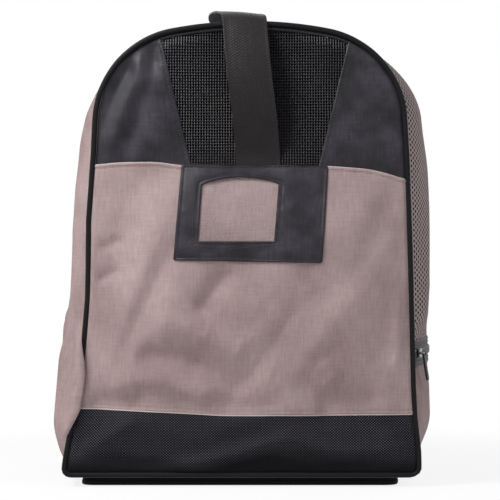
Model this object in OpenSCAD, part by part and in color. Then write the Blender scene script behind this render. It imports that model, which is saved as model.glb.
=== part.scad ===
// Skate bag: a tall soft carry bag for a pair of skates, with an arched front and back,
// bulging side gussets, a zipped top mouth whose two facings fold inwards, and a wide carry strap.
// Millimetres. +Z up, front towards -Y, origin on the floor under the middle of the bag.

/* [Body] */
// Height of the front arch above the floor, piping included
bag_h = 420; // [360:5:500]
// Width across the seams at the floor
bag_w = 314; // [280:2:400]
// Depth between the front and back lining faces
bag_d = 290; // [220:5:360]
// Lean of the sides towards the middle, in degrees
side_lean = 3; // [1:0.2:5]
// Radius of the shoulder curves
shoulder_r = 85; // [60:1:110]
// Radius of the shallow arch across the top
top_r = 372; // [300:2:600]
// Radius of the bottom corners of the front and back
foot_r = 14; // [8:1:24]
// How far the side gussets bulge past the seams
gusset_bulge = 25; // [8:1:30]

/* [Cloth] */
// Thickness of the padded lining and gusset cloth
cloth_t = 1.6; // [1.2:0.1:3]
// Thickness of the outer canvas layer
canvas_t = 1.2; // [0.8:0.1:2]
// Thickness of the foam behind the canvas
foam_t = 1.7; // [1.2:0.1:3]
// Diameter of the piping cord
piping_d = 5; // [3:0.5:8]
// Width of the binding tape on the inside seams
binding_w = 10; // [6:1:16]
// Thickness of binding tape and hems
binding_t = 0.8; // [0.5:0.1:1.5]

/* [Panels] */
// Top of the black base panels above the floor
base_panel_top = 68; // [50:1:120]
// Top edge of the canvas panels above the floor
canvas_top = 291; // [250:1:320]
// Lap of the canvas over the panels above it
canvas_lap = 9; // [5:1:16]
// Width of the mesh window at its top edge
window_top_w = 176; // [120:2:200]
// Width of the mesh window at its bottom edge
window_bottom_w = 112; // [80:2:150]

/* [Card holder] */
// Width of the card holder frame
holder_w = 133; // [100:1:150]
// Height of the card holder frame
holder_h = 88; // [60:1:100]
// Thickness of the card holder frame
holder_t = 1.3; // [0.8:0.1:2]
// Width of the window in the card holder
card_w = 68; // [50:1:90]
// Height of the window in the card holder
card_h = 55; // [40:1:60]
// Frame left of the card window
card_left = 20; // [8:1:24]
// Frame below the card window
card_below = 18; // [8:1:20]
// Thickness of the clear window film
film_t = 0.3; // [0.2:0.1:0.6]
// Distance of the card holder's middle to the right of the bag's middle
holder_x = 2; // [-10:1:10]

/* [Base] */
// Height of the skid under the bag
skid_h = 8; // [5:1:14]
// Inset of the skid from the seams at its sides
skid_side_inset = 15; // [8:1:30]
// Inset of the skid from the front and back
skid_end_inset = 12; // [8:1:30]
// Thickness of the black base sheet
base_t = 3; // [2:0.5:5]
// Thickness of the stiff board laid inside on the base
board_t = 3; // [2:0.5:5]
// Gap between the board and the walls around it
board_gap = 8; // [6:1:15]

/* [Carry strap] */
// Width of the strap webbing
strap_w = 40; // [25:1:50]
// Thickness of the webbing
strap_t = 1.6; // [1.2:0.1:2.4]
// Distance of the strap's middle to the right of the bag's middle
strap_x = 3; // [-10:1:10]
// Height of the strap's underside above the front arch
strap_rise = 7; // [7:0.5:20]
// Slack by which the strap can be lifted
strap_lift = 25; // [10:1:50]
// Width of the reinforcing patch over the strap's end at the back
patch_w = 52; // [44:1:70]
// Height of the reinforcing patch
patch_h = 34; // [25:1:50]

/* [Zips] */
// Width of each half of the zip tape
tape_w = 11; // [8:0.5:16]
// Width of each row of zip coil
coil_w = 2.5; // [2:0.1:4]
// Height of the zip coil
coil_h = 1.5; // [1:0.1:2.5]
// Length of a zip slider
slider_l = 14; // [10:0.5:18]
// Length of a zip pull
pull_l = 26; // [18:1:40]
// Height of the side pocket's zip above the floor
side_zip_z = 119; // [100:1:180]
// Half the length of the side pocket's zip coil
side_zip_half = 128; // [60:1:132]
// Thickness of the side pocket's inner wall
pocket_t = 0.8; // [0.5:0.1:1.5]
// Height of the side pocket's inner wall above its zip tape
pocket_hem = 10; // [4:1:30]

/* [Hidden] */

canvas_colour = "#a89a94";
black_cloth = "#35353b";
black_coat = "#1d1d21";
trim_black = "#26262a";
strap_black = "#2f2d30";
metal_black = "#3a3a3d";

gap = 0.2;              // between sewn pieces that lie against each other
run = 0.3;              // between pieces that move past each other
piping_r = piping_d / 2;
piping_out = piping_r - cloth_t; // centre of the piping, outside the lining's face
edge_in = piping_r + gap; // from the seam line in to the cloth's edge
front_y = -bag_d / 2;
arc_step = 6;           // degrees between points on an outline's curves
zip_gap = 1.4;          // between the two rows of coil, where a slider's web runs
tape_gap = 0.2;         // tape above the cloth it is sewn to
coil_z = tape_gap + 0.7; // coil above the cloth, just over the tape
tape_t = 0.6;
slot_half = 6;          // half the opening in the cloth under a zip

// Seam line: side lines, shoulder arcs and the top arch, all tangent
apex_z = bag_h - piping_r;
foot_z = skid_h + piping_r;
top_cz = apex_z - top_r;
side_n = [cos(side_lean), sin(side_lean)];
side_t = [-sin(side_lean), cos(side_lean)];
reach = bag_w / 2 * side_n[0] + (foot_z - top_cz) * side_n[1] - shoulder_r;
climb = sqrt(pow(top_r - shoulder_r, 2) - reach * reach);
shoulder_c = [0, top_cz] + reach * side_n + climb * side_t;
top_half_angle = atan2(shoulder_c[0], shoulder_c[1] - top_cz);
mouth_half = top_r * sin(top_half_angle);

function polar(centre, r, a) = centre + r * [cos(a), sin(a)];
function arc(centre, r, a0, a1) =
    let (n = max(2, ceil(abs(a1 - a0) / arc_step)))
    [for (i = [0 : n]) polar(centre, r, a0 + (a1 - a0) * i / n)];
function mirrored(points) = [for (i = [len(points) - 1 : -1 : 0]) [-points[i][0], points[i][1]]];

// Right half of the outline, from the floor up to the middle of the arch, moved in by inset
function half_outline(inset) =
    let (
        lift = foot_z + foot_r,
        foot_c = [bag_w / 2 - foot_r / side_n[0] - foot_r * tan(side_lean), lift]
    )
    concat(
        arc(foot_c, foot_r - inset, -90, side_lean),
        arc(shoulder_c, shoulder_r - inset, side_lean, 90 - top_half_angle),
        [for (p = arc([0, top_cz], top_r - inset, 90 - top_half_angle, 90)) if (p[0] < mouth_half - 1) p]
    );
function outline(inset) =
    let (right = half_outline(inset), left = mirrored(right))
    concat(right, [for (i = [1 : len(left) - 1]) left[i]]);

// A flat panel of the outline between two heights; y0 and y1 are measured inwards from the lining's face
module panel(y0, y1, z0, z1) {
    intersection() {
        translate([0, y1, 0]) rotate([90, 0, 0]) linear_extrude(y1 - y0) polygon(outline(edge_in));
        translate([-bag_w, y0 - 1, z0]) cube([2 * bag_w, y1 - y0 + 2, z1 - z0]);
    }
}
module at_front() {
    translate([0, front_y, 0]) children();
}
module at_back() {
    mirror([0, 1, 0]) at_front() children();
}

// Gusset surface: follows the seam line up a side and bulges out between front and back
side_l = (shoulder_c + shoulder_r * side_n - [bag_w / 2, foot_z]) * side_t;
start_s = skid_h + base_t + 0.5 - foot_z;
path_l = side_l + shoulder_r * (90 - top_half_angle - side_lean) * PI / 180;
gusset_half = bag_d / 2 - cloth_t - gap;
function seam_turn(s) = side_lean + max(0, s - side_l) / shoulder_r * 180 / PI;
function seam_point(s) =
    s <= side_l
    ? [bag_w / 2, foot_z] + s * side_t
    : polar(shoulder_c, shoulder_r, seam_turn(s));
function smooth(u) = let (c = min(1, max(0, u))) c * c * (3 - 2 * c);
low_s = 50;             // the bulge is full from here
flat_s = path_l - 12;   // and gone from here, for the mouth's hem
function bulge_at(s) =
    gusset_bulge * min(0.4 + 0.6 * smooth(s / low_s), 1 - smooth((s - side_l) / (flat_s - side_l)));
function bulge_r(b) = (gusset_half * gusset_half + b * b) / (2 * b);
function bulge_out(s, y) =
    let (b = bulge_at(s))
    b < 0.05 ? 0 : sqrt(pow(bulge_r(b), 2) - y * y) - (bulge_r(b) - b);
// A point of the right gusset, "out" millimetres outside the cloth's outer face
function gusset_point(s, y, out) =
    let (a = seam_turn(s), p = polar(seam_point(s), bulge_out(s, y) - edge_in + out, a))
    [p[0], y, p[1]];

// Stations from a to b that every sheet shares, so that layers stay the same distance apart
step_s = 14;
step_y = 26;
function stations(a, b, step) =
    concat(a, [for (k = [ceil((a + 2) / step) : floor((b - 2) / step)]) k * step], b);

// A closed sheet that follows the right gusset, from out0 to out1 beyond its outer face
module gusset_sheet(s0, s1, y0, y1, out0, out1) {
    along = stations(s0, s1, step_s);
    across = stations(y0, y1, step_y);
    ns = len(along) - 1;
    ny = len(across) - 1;
    row = ny + 1;
    layer = (ns + 1) * row;
    points = [for (out = [out0, out1]) for (s = along) for (y = across) gusset_point(s, y, out)];
    function at(k, i, j) = k * layer + i * row + j;
    rim = concat(
        [for (j = [0 : ny]) [0, j]],
        [for (i = [1 : ns]) [i, ny]],
        [for (j = [ny - 1 : -1 : 0]) [ns, j]],
        [for (i = [ns - 1 : -1 : 1]) [i, 0]]
    );
    faces = concat(
        [for (i = [0 : ns - 1]) for (j = [0 : ny - 1]) each [
            [at(1, i, j), at(1, i + 1, j + 1), at(1, i, j + 1)],
            [at(1, i, j), at(1, i + 1, j), at(1, i + 1, j + 1)],
            [at(0, i, j), at(0, i, j + 1), at(0, i + 1, j + 1)],
            [at(0, i, j), at(0, i + 1, j + 1), at(0, i + 1, j)]
        ]],
        [for (k = [0 : len(rim) - 1]) let (a = rim[k], b = rim[(k + 1) % len(rim)]) each [
            [at(0, a[0], a[1]), at(1, a[0], a[1]), at(1, b[0], b[1])],
            [at(0, a[0], a[1]), at(1, b[0], b[1]), at(0, b[0], b[1])]
        ]]
    );
    polyhedron(points, faces, convexity = 6);
}

// Base
module base_skid() {
    w = bag_w - 2 * skid_side_inset;
    d = bag_d - 2 * skid_end_inset;
    corner = 12;
    color(black_coat) linear_extrude(skid_h) union() {
        square([w - 2 * corner, d], center = true);
        square([w, d - 2 * corner], center = true);
        for (x = [-1, 1], y = [-1, 1])
            translate([x * (w / 2 - corner), y * (d / 2 - corner)]) circle(corner, $fn = 48);
    }
}
module base_sheet(z0, z1, inset) {
    depth = gusset_half - inset;
    edge = [for (i = [-6 : 6]) let (y = depth * i / 6) [gusset_point(start_s, y, -inset)[0], y]];
    translate([0, 0, z0]) linear_extrude(z1 - z0) polygon(concat(edge, [for (p = edge) -p]));
}
module base_panel() {
    color(black_coat) base_sheet(skid_h, skid_h + base_t, 0.4);
}
module base_board() {
    z = skid_h + base_t;
    color(metal_black) base_sheet(z, z + board_t, board_gap);
}

// Front and back
module front_lining() {
    color(trim_black) at_front() panel(0, cloth_t, 0, canvas_top - canvas_lap / 2);
}
module back_lining() {
    color(trim_black) at_back() panel(0, cloth_t, 0, canvas_top - canvas_lap / 2);
}
module foam() {
    panel(-foam_t - 0.1, -0.1, base_panel_top + gap, canvas_top - canvas_lap - 2);
}
module front_foam() {
    color("#d8d4cc") at_front() foam();
}
module back_foam() {
    color("#d8d4cc") at_back() foam();
}
canvas_y = -foam_t - 0.2; // inner face of the canvas, just outside the foam and the strap's end
module canvas() {
    panel(canvas_y - canvas_t, canvas_y, base_panel_top + gap, canvas_top);
}
module front_canvas() {
    color(canvas_colour) at_front() canvas();
}
module back_canvas() {
    color(canvas_colour) at_back() canvas();
}
module lower_black() {
    panel(canvas_y - canvas_t, -0.1, 0, base_panel_top);
}
module front_base_panel() {
    color(black_coat) at_front() lower_black();
}
module back_base_panel() {
    color(black_coat) at_back() lower_black();
}
upper_z = canvas_top - canvas_lap / 2 + gap;
module upper_panel() {
    panel(0, cloth_t, upper_z, bag_h);
}
// The mesh window's outline, widened by grow on both sides
module window_prism(grow) {
    slope = (window_top_w - window_bottom_w) / 2 / (bag_h - canvas_top);
    z0 = upper_z - 1;
    z1 = bag_h + 1;
    half0 = window_bottom_w / 2 - slope * (canvas_top - upper_z) + grow;
    half1 = window_top_w / 2 + grow;
    translate([0, cloth_t + 1, 0]) rotate([90, 0, 0]) linear_extrude(cloth_t + 2)
        polygon([[-half0, z0], [half0, z0], [half1, z1], [-half1, z1]]);
}
module front_mesh_window() {
    color("#15151a") at_front() intersection() {
        upper_panel();
        window_prism(0);
    }
}
module front_corner() {
    intersection() {
        difference() {
            upper_panel();
            window_prism(gap);
        }
        translate([0, -1, 0]) cube([bag_w, cloth_t + 2, bag_h]);
    }
}
module front_corner_right() {
    color(black_cloth) at_front() front_corner();
}
module front_corner_left() {
    color(black_cloth) mirror([1, 0, 0]) at_front() front_corner();
}
module back_top_panel() {
    color(black_cloth) at_back() upper_panel();
}

// Piping: one cord round the whole seam, as a tube swept along the outline
module piping() {
    loop = outline(0);
    n = len(loop);
    sides = 8;
    points = [for (i = [0 : n - 1])
        let (
            d = loop[(i + 1) % n] - loop[(i + n - 1) % n],
            out = [d[1], -d[0]] / norm(d)
        )
        for (k = [0 : sides - 1])
            let (a = 360 * (k + 0.5) / sides, p = loop[i] + out * piping_r * cos(a))
            [p[0], -piping_out + piping_r * sin(a), p[1]]
    ];
    faces = [for (i = [0 : n - 1]) for (k = [0 : sides - 1])
        let (a = i * sides, b = ((i + 1) % n) * sides, m = (k + 1) % sides)
        each [[a + k, b + k, b + m], [a + k, b + m, a + m]]
    ];
    polyhedron(points, faces, convexity = 8);
}
module front_piping() {
    color(trim_black) at_front() piping();
}
module back_piping() {
    color(trim_black) at_back() piping();
}

// Card holder on the front canvas
holder_y = canvas_y - canvas_t - 0.1;
holder_z = canvas_top - 2 - holder_h;
module card_holder_frame() {
    x0 = holder_x - holder_w / 2;
    color(black_cloth) at_front() translate([x0, holder_y - holder_t, holder_z]) difference() {
        cube([holder_w, holder_t, holder_h]);
        translate([card_left, -1, card_below]) cube([card_w, holder_t + 2, card_h]);
    }
}
module card_window_film() {
    x0 = holder_x - holder_w / 2 + card_left + gap;
    color("#c8cdd2", 0.3) at_front() translate([x0, holder_y - film_t, holder_z + card_below + gap])
        cube([card_w - 2 * gap, film_t, card_h - 2 * gap]);
}

// Gussets. A side's cloth runs from the base to the hem of the mouth.
hem_s = path_l - 0.5;
zip_s = (side_zip_z - foot_z) / cos(side_lean);
module gusset_left() {
    color(canvas_colour) mirror([1, 0, 0])
        gusset_sheet(start_s, hem_s, -gusset_half, gusset_half, -cloth_t, 0);
}
mesh_t = cloth_t / 2;
module gusset_right_mesh() {
    color("#9a8d86") gusset_sheet(zip_s + slot_half, hem_s, -gusset_half, gusset_half, -mesh_t, 0);
}
module gusset_right_backing() {
    color(black_coat)
        gusset_sheet(zip_s + slot_half, hem_s, -gusset_half, gusset_half, -cloth_t, -mesh_t - 0.1);
}
module gusset_right_lower() {
    color(canvas_colour) gusset_sheet(start_s, zip_s - slot_half, -gusset_half, gusset_half, -cloth_t, 0);
}
module side_pocket_lining() {
    face = binding_in - binding_t - 0.4;
    color(trim_black) gusset_sheet(
        start_s + 4, zip_s + tape_w + pocket_hem, -gusset_half + 1.5, gusset_half - 1.5, face - pocket_t, face
    );
}

// Binding tape over the raw seams inside, up both sides
binding_in = -cloth_t - 0.6; // outer face of the tape, from the gusset's outer face
module seam_binding() {
    y = -gusset_half + 0.6;
    for (side = [0, 1]) mirror([side, 0, 0])
        gusset_sheet(start_s + 4, hem_s, y, y + binding_w, binding_in - binding_t, binding_in);
}
module seam_binding_front() {
    color(trim_black) seam_binding();
}
module seam_binding_back() {
    color(trim_black) mirror([0, 1, 0]) seam_binding();
}
module mouth_hem() {
    color(trim_black) gusset_sheet(
        hem_s - binding_w, hem_s, -gusset_half + binding_w + 2, gusset_half - binding_w - 2,
        binding_in - binding_t, binding_in
    );
}
module mouth_hem_left() {
    mirror([1, 0, 0]) mouth_hem();
}
module mouth_hem_right() {
    mouth_hem();
}

// Top mouth: everything here turns about the top arch's own centre line
facing_r = top_r - edge_in;
facing_half = mouth_half - 1.5;  // half the facings' length, clear of the mouth's hems
zip_half = facing_half - slider_l - 2.5; // half the length of zip on the facings, clear of the parked slider
function arch_angle(x) = asin(x / facing_r);
// A ring slice from x0 to x1 along the arch, between two radii and two depths
module arch_strip(x0, x1, r0, r1, y0, y1) {
    a0 = arch_angle(x0);
    a1 = arch_angle(x1);
    translate([0, 0, top_cz]) rotate([-90, 0, 0]) rotate([0, 0, a0 - 90])
        rotate_extrude(angle = a1 - a0, $fn = 240) translate([r0, y0]) square([r1 - r0, y1 - y0]);
}
module facing() {
    color(black_cloth) difference() {
        arch_strip(-facing_half, facing_half, facing_r - cloth_t, facing_r,
            front_y + cloth_t + 0.4, -slot_half);
        for (side = [-1, 1]) translate([side * (zip_half + 0.5 + facing_half) / 2, 0, bag_h])
            cube([facing_half - zip_half - 0.5 + 0.02, 2 * slot_half + 4, bag_h], center = true);
    }
}
module main_tape(x0, x1) {
    r = facing_r + tape_gap;
    arch_strip(x0, x1, r, r + tape_t, -zip_gap / 2 - tape_w, -zip_gap / 2);
}
module main_coil(x0, x1) {
    r = facing_r + coil_z;
    arch_strip(x0, x1, r, r + coil_h, -zip_gap / 2 - coil_w, -zip_gap / 2);
}
module facing_front() {
    facing();
}
module facing_back() {
    mirror([0, 1, 0]) facing();
}
module main_zip_tape_front() {
    color(trim_black) main_tape(-zip_half, zip_half);
}
module main_zip_tape_back() {
    color(trim_black) mirror([0, 1, 0]) main_tape(-zip_half, zip_half);
}
module main_zip_coil_front() {
    color(metal_black) main_coil(-zip_half, zip_half);
}
module main_zip_coil_back() {
    color(metal_black) mirror([0, 1, 0]) main_coil(-zip_half, zip_half);
}
// The ends of the zip stay on the shoulders, and the slider parks on them
module main_zip_end_right() {
    x0 = zip_half + 0.5;
    x1 = mouth_half + 8;
    color(trim_black) for (side = [0, 1]) mirror([0, side, 0]) {
        main_tape(x0, x1);
        main_coil(x0, mouth_half + 2);
    }
    color(metal_black) arch_strip(mouth_half + 2.5, mouth_half + 5,
        facing_r + coil_z, facing_r + coil_z + coil_h, -3, 3);
}
module main_zip_end_left() {
    mirror([1, 0, 0]) main_zip_end_right();
}

// Zip slider in its own frame: x outwards from the cloth, y along the zip, z across it
roof = coil_z + coil_h + run; // underside of the slider's top plate
plate_t = 1.6;
rod_x = roof + plate_t + 2.6;
module slider() {
    half_w = zip_gap / 2 + coil_w + run + 1;
    color(metal_black) union() {
        for (x = [roof, -0.2 - plate_t]) intersection() {
            translate([x, -slider_l / 2, -half_w]) cube([plate_t, slider_l, 2 * half_w]);
            translate([x - 1, 0, 0]) rotate([0, 90, 0])
                cylinder(plate_t + 2, r = slider_l / 2 + 0.4, $fn = 64);
        }
        for (side = [0, 1]) mirror([0, 0, side]) translate([coil_z + 0.3, -slider_l / 2 + 2.5, half_w - 1])
            cube([roof - coil_z + 0.3, slider_l - 5, 1]);
        translate([-0.2 - plate_t, -slider_l / 2 + 2, -zip_gap / 2 + run])
            cube([roof + 2 * plate_t + 0.1, slider_l / 2, zip_gap - 2 * run]);
        for (side = [0, 1]) mirror([0, side, 0]) translate([roof + 0.5, 3.2, -0.9])
            cube([rod_x + 0.9 - roof - 0.5, 1.4, 1.8]);
        translate([rod_x, 4, 0]) rotate([90, 0, 0]) cylinder(8, r = 0.9, $fn = 32);
    }
}
// Zip pull that hangs from the slider's rod, towards -z
pull_w = 7;
pull_t = 1.8;
module pull() {
    droop = asin((rod_x - pull_t - 1.2) / (pull_l + 2));
    color(black_coat) translate([rod_x, 0, 0]) rotate([0, droop, 0]) difference() {
        union() {
            translate([0, 2.2, 0]) rotate([90, 0, 0]) cylinder(4.4, r = 2.1, $fn = 32);
            translate([-pull_t / 2, -2.2, -6]) cube([pull_t, 4.4, 5]);
            translate([-pull_t / 2, -pull_w / 2, -pull_l + 3]) cube([pull_t, pull_w, pull_l - 8]);
            translate([-pull_t / 2, 0, -pull_l + 3]) rotate([0, 90, 0])
                cylinder(pull_t, r = pull_w / 2, $fn = 32);
        }
        translate([0, 3, 0]) rotate([90, 0, 0]) cylinder(6, r = 0.9 + run, $fn = 32);
    }
}

park_x = zip_half + 0.5 + slider_l / 2 + 1;
// Puts a zip part made in its own frame on the top zip, at the parked position on the left
module on_main_zip() {
    translate([0, 0, top_cz]) rotate([0, -arch_angle(park_x), 0]) translate([0, 0, facing_r])
        rotate([0, -90, -90]) children();
}
module main_zip_slider() {
    on_main_zip() slider();
}
module main_zip_pull() {
    on_main_zip() pull();
}

// Side pocket zip: runs across the right gusset on the bulge's own arc
side_arc_r = bulge_r(gusset_bulge);
side_arc_out = gusset_bulge - edge_in - side_arc_r; // arc's centre, measured outwards from the seam line
module on_side_zip() {
    p = seam_point(zip_s);
    translate([p[0], 0, p[1]]) rotate([0, -side_lean, 0]) translate([side_arc_out, 0, 0]) children();
}
function side_angle(y) = asin(y / side_arc_r);
// A ring slice about the side arc's axis, over y0 to y1 along the zip and z0 to z1 across it
module side_strip(y0, y1, out0, out1, z0, z1) {
    rotate([0, 0, side_angle(y0)]) rotate_extrude(angle = side_angle(y1) - side_angle(y0), $fn = 240)
        translate([side_arc_r + out0, z0]) square([out1 - out0, z1 - z0]);
}
module side_zip_tape() {
    color(trim_black) on_side_zip() for (side = [0, 1]) mirror([0, 0, side])
        side_strip(-gusset_half + 1, gusset_half - 1, tape_gap, tape_gap + tape_t,
            zip_gap / 2, zip_gap / 2 + tape_w);
}
module side_zip_coil() {
    color(metal_black) on_side_zip() for (side = [0, 1]) mirror([0, 0, side])
        side_strip(-side_zip_half, side_zip_half, coil_z, coil_z + coil_h, zip_gap / 2, zip_gap / 2 + coil_w);
}
module side_zip_stops() {
    color(metal_black) on_side_zip() for (side = [0, 1]) mirror([0, side, 0])
        side_strip(side_zip_half + 0.3, side_zip_half + 3, coil_z, coil_z + coil_h, -3, 3);
}
side_park_y = side_zip_half - slider_l / 2 - 1;
module at_side_park() {
    on_side_zip() rotate([0, 0, side_angle(-side_park_y)]) translate([side_arc_r, 0, 0]) children();
}
module side_zip_slider() {
    at_side_park() slider();
}
module side_zip_pull() {
    at_side_park() pull();
}

// Carry strap: fixed ends sewn under the canvas, and the loop over the top that the slack lets lift
strap_under = bag_h + strap_rise;
leg_low_z = canvas_top - canvas_lap;
leg_top_z = bag_h - piping_d - 3;
loop_lap = 50; // lap of the loop over the sewn ends when it is lifted
module strap_leg() {
    translate([strap_x - strap_w / 2, -strap_t - 0.1, leg_low_z])
        cube([strap_w, strap_t, leg_top_z - leg_low_z]);
}
module carry_strap_front() {
    color(strap_black) at_front() strap_leg();
}
module carry_strap_back() {
    color(strap_black) at_back() strap_leg();
}
module carry_strap_loop() {
    inner = bag_d / 2 + piping_out + piping_r + run; // clear of the piping
    bend = 8;
    low = leg_top_z - strap_lift - loop_lap;
    color(strap_black) translate([strap_x - strap_w / 2, 0, 0]) rotate([90, 0, 90]) linear_extrude(strap_w)
        difference() {
            loop_shape(inner + strap_t, strap_under + strap_t, bend, low);
            loop_shape(inner, strap_under, bend - strap_t, low - 1);
        }
}
// An upright rectangle with round top corners
module loop_shape(half, top, corner, low) {
    translate([-half, low]) square([2 * half, top - corner - low]);
    translate([-half + corner, low]) square([2 * (half - corner), top - low]);
    for (side = [-1, 1]) translate([side * (half - corner), top - corner]) circle(corner, $fn = 48);
}
module strap_patch() {
    color(black_cloth) at_back()
        translate([strap_x - patch_w / 2, holder_y - holder_t, canvas_top - 2 - patch_h])
        cube([patch_w, holder_t, patch_h]);
}

base_skid();
base_panel();
base_board();
front_lining();
front_foam();
front_canvas();
front_base_panel();
front_corner_left();
front_corner_right();
front_mesh_window();
front_piping();
card_holder_frame();
card_window_film();
back_lining();
back_foam();
back_canvas();
back_base_panel();
back_top_panel();
back_piping();
gusset_left();
gusset_right_mesh();
gusset_right_backing();
gusset_right_lower();
side_pocket_lining();
seam_binding_front();
seam_binding_back();
mouth_hem_left();
mouth_hem_right();
main_zip_end_left();
main_zip_end_right();
side_zip_tape();
side_zip_coil();
side_zip_stops();
side_zip_slider();
side_zip_pull();
facing_front();
main_zip_tape_front();
main_zip_coil_front();
facing_back();
main_zip_tape_back();
main_zip_coil_back();
main_zip_slider();
main_zip_pull();
carry_strap_front();
carry_strap_back();
carry_strap_loop();
strap_patch();
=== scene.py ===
import math
import random

import bmesh
import bpy
import numpy as np
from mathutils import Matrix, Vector


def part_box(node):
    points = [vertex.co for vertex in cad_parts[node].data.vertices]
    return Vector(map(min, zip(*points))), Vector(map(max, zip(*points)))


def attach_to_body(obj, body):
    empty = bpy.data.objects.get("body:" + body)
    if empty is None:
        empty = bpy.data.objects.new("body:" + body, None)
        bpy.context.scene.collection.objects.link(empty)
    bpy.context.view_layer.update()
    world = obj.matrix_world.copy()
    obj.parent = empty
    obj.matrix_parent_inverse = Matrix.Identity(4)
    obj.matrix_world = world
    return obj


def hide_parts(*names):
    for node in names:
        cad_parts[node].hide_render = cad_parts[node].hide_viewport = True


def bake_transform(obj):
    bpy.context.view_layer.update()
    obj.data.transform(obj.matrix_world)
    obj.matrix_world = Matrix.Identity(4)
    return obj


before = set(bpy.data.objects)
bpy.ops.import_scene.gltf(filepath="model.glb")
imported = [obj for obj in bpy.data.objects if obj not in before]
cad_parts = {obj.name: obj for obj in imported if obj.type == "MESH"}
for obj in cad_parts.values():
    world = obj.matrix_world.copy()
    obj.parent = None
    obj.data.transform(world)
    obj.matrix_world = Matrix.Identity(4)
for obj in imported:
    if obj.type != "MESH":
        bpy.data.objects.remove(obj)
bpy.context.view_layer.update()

mm = 0.001

# the seam line and the layers, in the frame's own sizes but for the foot, whose cloth has a tighter corner
pipingLow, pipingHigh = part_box("front_piping")
canvasLow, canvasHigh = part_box("front_canvas")
bag = dict(
    lean=math.radians(3), shoulder=85 * mm, arch=372 * mm, foot=6 * mm, piping=2.5 * mm,
    edgeIn=2.7 * mm, cloth=1.6 * mm, canvas=1.2 * mm, bulge=25 * mm, slotHalf=6 * mm,
)
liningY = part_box("front_lining")[1].y - bag["cloth"]     # outer face of the front lining
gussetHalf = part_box("gusset_left")[1].y
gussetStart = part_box("gusset_left")[0].z
footZ = pipingLow.z + bag["piping"]
archCentreZ = pipingHigh.z - bag["piping"] - bag["arch"]
halfFoot = pipingHigh.x - bag["piping"] + bag["foot"] * math.tan(bag["lean"])
canvasOut = liningY - canvasLow.y                        # outer face of the canvas, outside the lining
facingRadius = bag["arch"] - bag["edgeIn"]

sideNormal = np.array([math.cos(bag["lean"]), math.sin(bag["lean"])])
sideAlong = np.array([-math.sin(bag["lean"]), math.cos(bag["lean"])])
reach = halfFoot * sideNormal[0] + (footZ - archCentreZ) * sideNormal[1] - bag["shoulder"]
climb = math.sqrt((bag["arch"] - bag["shoulder"]) ** 2 - reach ** 2)
shoulderCentre = np.array([0, archCentreZ]) + reach * sideNormal + climb * sideAlong
archAngle = math.atan2(shoulderCentre[0], shoulderCentre[1] - archCentreZ)
sideLength = float((shoulderCentre + bag["shoulder"] * sideNormal - [halfFoot, footZ]) @ sideAlong)
shoulderTurn = math.pi / 2 - archAngle - bag["lean"]
mouthAt = sideLength + bag["shoulder"] * shoulderTurn    # along the seam, from the foot to the mouth
seamLength = mouthAt + bag["arch"] * archAngle


def seamTurn(s):
    turn = bag["lean"] + np.clip(s - sideLength, 0, mouthAt - sideLength) / bag["shoulder"]
    return turn + np.maximum(s - mouthAt, 0) / bag["arch"]


# x and z of the right half of the seam line, s metres along it from the foot, moved inwards by inset
def seamPoint(s, inset=0.0):
    s = np.asarray(s, float)
    turn = seamTurn(s)
    side = np.minimum(s, sideLength)
    x = halfFoot + side * sideAlong[0] - inset * sideNormal[0]
    z = footZ + side * sideAlong[1] - inset * sideNormal[1]
    x = np.where(s > sideLength, shoulderCentre[0] + (bag["shoulder"] - inset) * np.cos(turn), x)
    z = np.where(s > sideLength, shoulderCentre[1] + (bag["shoulder"] - inset) * np.sin(turn), z)
    x = np.where(s > mouthAt, (bag["arch"] - inset) * np.cos(turn), x)
    z = np.where(s > mouthAt, archCentreZ + (bag["arch"] - inset) * np.sin(turn), z)
    return x, z


def halfWidth(z, inset):
    z = np.asarray(z, float)
    stations = np.linspace(-12 * mm, seamLength, 800)
    xs, zs = seamPoint(stations, inset)
    width = np.interp(z, zs, xs)
    rise = np.clip(footZ + bag["foot"] - z, 0, bag["foot"] - inset)
    radius = bag["foot"] - inset
    return width - (radius - np.sqrt(np.maximum(radius ** 2 - rise ** 2, 0)))


def seamDistance(x, z):
    x = np.abs(x)
    side = (halfFoot - (z - footZ) * math.tan(bag["lean"]) - x) * math.cos(bag["lean"])
    top = bag["arch"] - np.hypot(x, z - archCentreZ)
    dx, dz = x - shoulderCentre[0], z - shoulderCentre[1]
    turn = np.arctan2(dz, dx)
    inShoulder = (turn > bag["lean"]) & (turn < math.pi / 2 - archAngle)
    nearest = np.where(inShoulder, bag["shoulder"] - np.hypot(dx, dz), np.minimum(side, top))
    return np.maximum(np.minimum(nearest, z - footZ), 0)


def smooth(t):
    t = np.clip(t, 0, 1)
    return t * t * (3 - 2 * t)


# gentle unevenness of cloth: a few crossing waves with seeded directions
def unevenness(a, b, size, seed, waves=9):
    dice = random.Random(seed)
    total = 0
    for _ in range(waves):
        turn, phase = dice.uniform(0, math.pi), dice.uniform(0, 2 * math.pi)
        length = size * dice.uniform(0.7, 2.2)
        total = total + np.sin(2 * math.pi * (a * math.cos(turn) + b * math.sin(turn)) / length + phase)
    return total / waves


# a crease is a line with a height and a width; a shelf raises the cloth on the line's right
def creaseHeight(a, b, creases):
    total = np.zeros_like(a)
    for a0, b0, a1, b1, height, width in creases:
        da, db = (a1 - a0) * mm, (b1 - b0) * mm
        length = math.hypot(da, db)
        along = ((a - a0 * mm) * da + (b - b0 * mm) * db) / length
        across = ((a - a0 * mm) * db - (b - b0 * mm) * da) / length
        begun, left = along + length * 0.2, length * 1.2 - along
        fade = smooth(begun / (length * 0.35)) * smooth(left / (length * 0.35))
        total = total + height * mm * np.exp(-(across / (width * mm)) ** 2) * fade
    return total


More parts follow.
